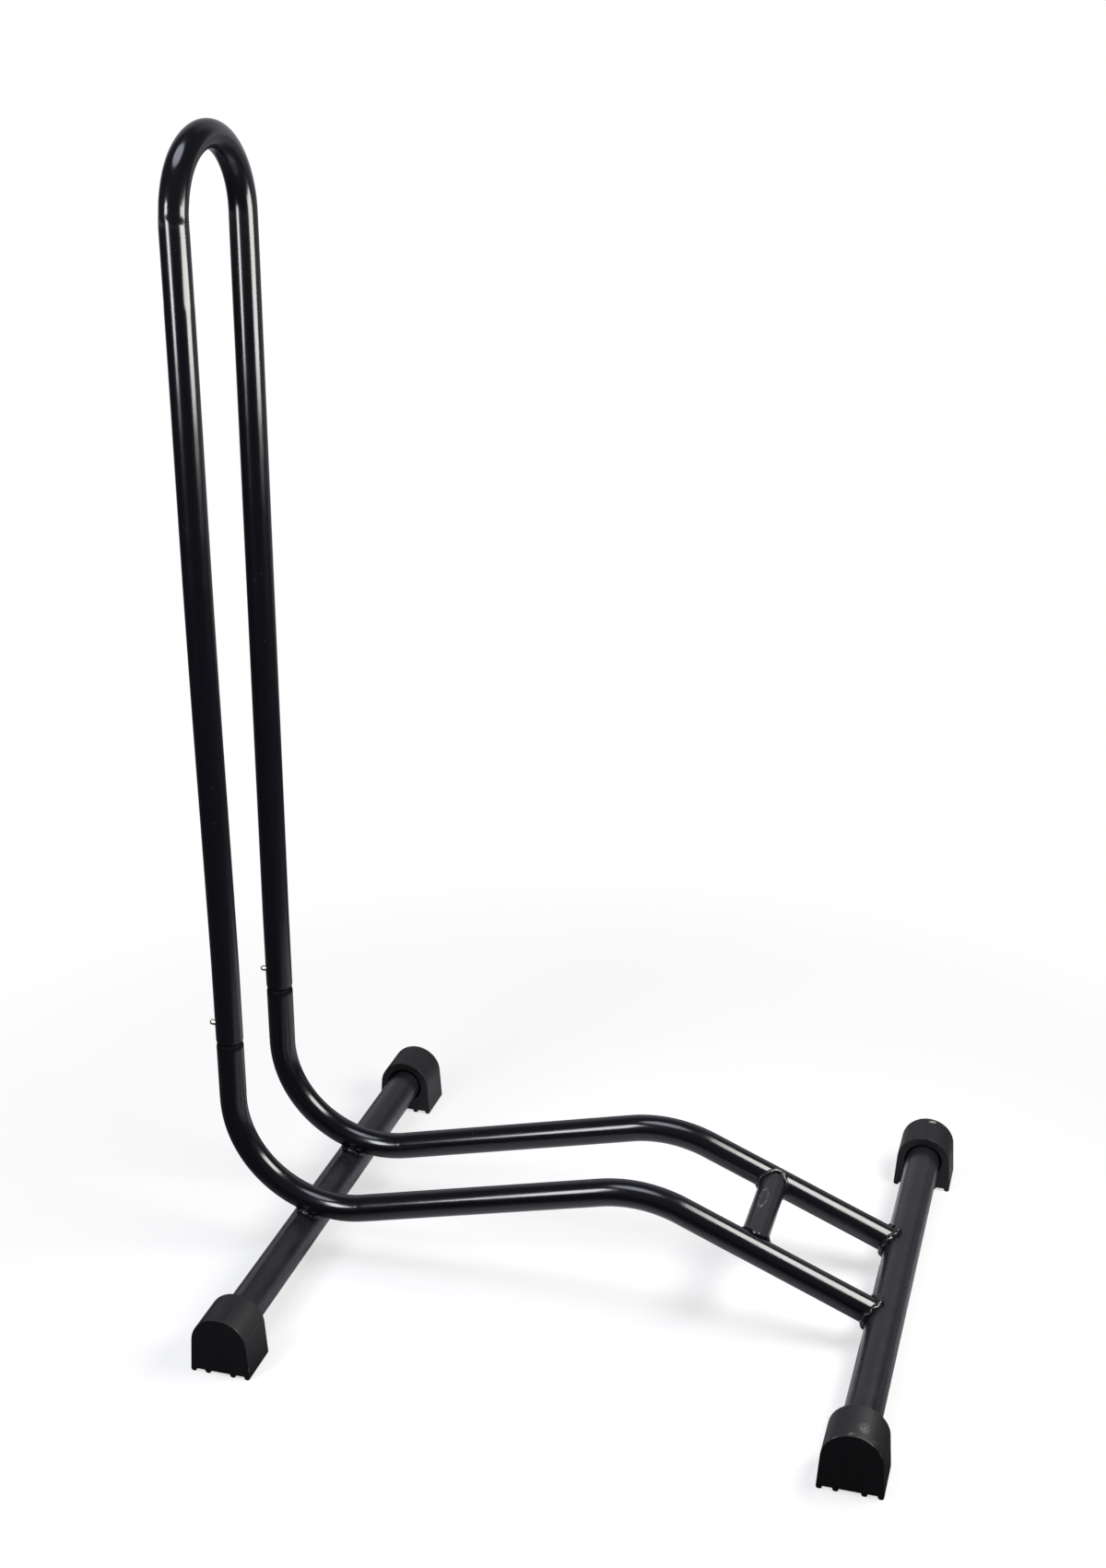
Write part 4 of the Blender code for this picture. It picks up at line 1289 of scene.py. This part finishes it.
def floor_finish():
    """White floor that keeps a soft shadow and, farther out, becomes the white background.

    Light that the floor throws back on the stand is that of a grey floor, and a mirror
    image of the far floor is as bright as the backdrop.
    """
    finish = bpy.data.materials.new("white_floor")
    recipe = Recipe(finish)
    path = recipe.step("LightPath").outputs
    away = from_centre(recipe, recipe.step("TexCoord").outputs["Object"])
    share = product(recipe, ramp(recipe, away, 0.20, 0.70, 0.60, 1.0), seen_white(recipe))
    matt_colour = blended(recipe, path["Is Diffuse Ray"], FLOOR_GREY, FLOOR_GREY_FOR_LIGHT)
    matt = recipe.step("BsdfDiffuse", {"Color": matt_colour}).outputs[0]
    strength = ramp(recipe, path["Is Glossy Ray"], 0.0, 1.0, 1.0, 0.60)
    white = recipe.step("Emission", {"Color": WHITE, "Strength": strength}).outputs[0]
    mixed = recipe.step("MixShader", {0: share, 1: matt, 2: white}).outputs[0]
    recipe.step("OutputMaterial", {"Surface": mixed})
    return finish


def round_sheet(name, radii, heights, finish):
    """A round sheet about the origin that goes through rings of these radii and heights."""
    t = once_round(96)[:, None]
    way = np.cos(t) * X + np.sin(t) * Y
    rings = np.array(radii)[:, None, None] * way + np.array(heights)[:, None, None] * Z
    patches = Patches()
    patches.grid(rings)
    patches.fan(rings[0], heights[0] * Z)
    sheet = bpy.data.objects.new(name, patches.mesh(name))
    sheet.data.materials.append(finish)
    bpy.context.scene.collection.objects.link(sheet)
    return sheet


def build_floor():
    """A large flat disc under the stand."""
    round_sheet("floor", [0.4, 0.8, 1.5, 3.0, 8.0, 30.0], [0, 0, 0, 0, 0, 0], floor_finish())


def build_reflection_shade_sheet():
    """A sheet round the stand, raised at its rim, which only reflections show.

    It is a painted reflection of light and shade: pale under the stand as a painted
    pool of light, dark round it and darkest towards the camera as painted shade, dim
    grey behind it, and glowing far behind it.  It keeps the black paint as deep as the
    studio round the real stand did.
    """
    finish = bpy.data.materials.new("reflection_only_shade_sheet")
    recipe = Recipe(finish)
    away = from_centre(recipe, around(recipe, (0.02, 0.10, 0), measure=(0.34, 0.32, 1)))
    across = coordinate(recipe, around(recipe), "Y")
    outer = blended(recipe, ramp(recipe, across, -0.15, 0.25), REFLECTED_SHADE_DARK, REFLECTED_DIM_BEHIND)
    colour = blended(recipe, ramp(recipe, away, 0.55, 1.10, 1.0, 0.0), outer, REFLECTED_LIGHT_POOL_GREY)
    sheet_matt = recipe.step("BsdfDiffuse", {"Color": colour}).outputs[0]
    # Painted glow far behind the stand, seen only in reflections
    glow_behind = recipe.step("Emission", {"Color": REFLECTED_GLOW_BEHIND, "Strength": 1.0}).outputs[0]
    far_behind = ramp(recipe, across, 0.8, 1.6)
    mixed = recipe.step("MixShader", {0: far_behind, 1: sheet_matt, 2: glow_behind}).outputs[0]
    recipe.step("OutputMaterial", {"Surface": mixed})
    shade_sheet = round_sheet("reflection_only_shade_sheet", [0.4, 0.8, 1.6, 2.6, 3.0],
                        [0.0004, 0.0004, 0.0004, 0.02, 0.5], finish)
    shade_sheet.visible_camera = False
    shade_sheet.visible_diffuse = False
    shade_sheet.visible_transmission = False
    shade_sheet.visible_shadow = False


def build_world():
    """White for rays that show the background, dim for the light that the room gives.

    A reflection shows a backdrop behind the stand, brightest near the horizon, and the
    dim room above it and to its sides.
    """
    world = bpy.data.worlds.new("white_room")
    recipe = Recipe(world)
    way = recipe.step("TexCoord").outputs["Generated"]
    parts = recipe.step("SeparateXYZ", {0: way}).outputs
    camera = recipe.step("LightPath").outputs["Is Camera Ray"]
    glow = product(recipe, ramp(recipe, parts["Z"], 0.10, 0.62, 0.70, 0.40),
                   ramp(recipe, parts["Z"], 0.90, 0.68))
    sideways = recipe.step("Math", {0: parts["Z"], 1: 0.2, 2: parts["X"]},
                           operation="MULTIPLY_ADD").outputs[0]
    backdrop = product(recipe, ramp(recipe, sideways, 0.56, 0.41, 0.10, 1.0),
                       ramp(recipe, parts["Y"], 0.25, 0.60))
    mirrored = product(recipe, product(recipe, glow, backdrop), seen_white(recipe))
    strength = larger(recipe, larger(recipe, mirrored, camera), ROOM_STRENGTH)
    colour = blended(recipe, camera, ROOM_COLOUR, WHITE)
    background = recipe.step("Background", {"Color": colour, "Strength": strength}).outputs[0]
    recipe.step("OutputWorld", {"Surface": background})
    bpy.context.scene.world = world


def add_lamp(name, place, target, size, radiance, colour, shape="RECTANGLE"):
    """A soft lamp that faces a target and is as bright as radiance times white.

    A lamp of area A that shines P watts is P / (pi A) bright.
    """
    width, height = size
    data = bpy.data.lights.new(name, "AREA")
    data.shape = shape
    data.size = width
    data.size_y = height
    data.energy = radiance * pi * width * height * (pi / 4 if shape == "ELLIPSE" else 1)
    data.color = colour
    lamp = bpy.data.objects.new(name, data)
    lamp.location = place
    lamp.rotation_euler = (Vector(target) - Vector(place)).to_track_quat("-Z", "Y").to_euler()
    lamp.visible_camera = False
    bpy.context.scene.collection.objects.link(lamp)


def build_lamps():
    """Three soft lamps: one at each side of the camera's line and one overhead."""
    add_lamp("left_softbox", place=(-0.492, -0.668, 0.735), target=(-0.052, 0.032, 0.52),
             size=(0.218, 0.45), radiance=20, colour=(0.96, 0.98, 1.0))
    add_lamp("right_softbox", place=(0.49, 0.0, 0.635), target=(0, 0, 0.50),
             size=(0.45, 0.36), radiance=17.5, colour=(1.0, 0.99, 0.96))
    add_lamp("overhead_softbox", place=(-0.235, -0.32, 2.2), target=(-0.24, -0.045, 0.78),
             size=(1.25, 1.0), radiance=6.2, colour=(0.84, 0.88, 1.0), shape="ELLIPSE")


def build_camera():
    """The camera at the photograph's angle, found from the outlines in the photograph."""
    azimuth = radians(16.13)
    elevation = radians(21.33)
    distance = 1.4256
    target = Vector((-0.0142, 0, 0.3749))
    back = Vector((sin(azimuth) * cos(elevation), -cos(azimuth) * cos(elevation),
                   sin(elevation)))
    data = bpy.data.cameras.new("camera")
    data.sensor_fit = "AUTO"
    data.sensor_width = 36
    data.lens = 48.366
    camera = bpy.data.objects.new("camera", data)
    camera.location = target + distance * back
    camera.rotation_mode = "QUATERNION"
    camera.rotation_quaternion = (-back).to_track_quat("-Z", "Y")
    bpy.context.scene.collection.objects.link(camera)
    bpy.context.scene.camera = camera


build_floor()
build_reflection_shade_sheet()
build_world()
build_lamps()
build_camera()
bpy.context.scene.view_settings.view_transform = "Standard"
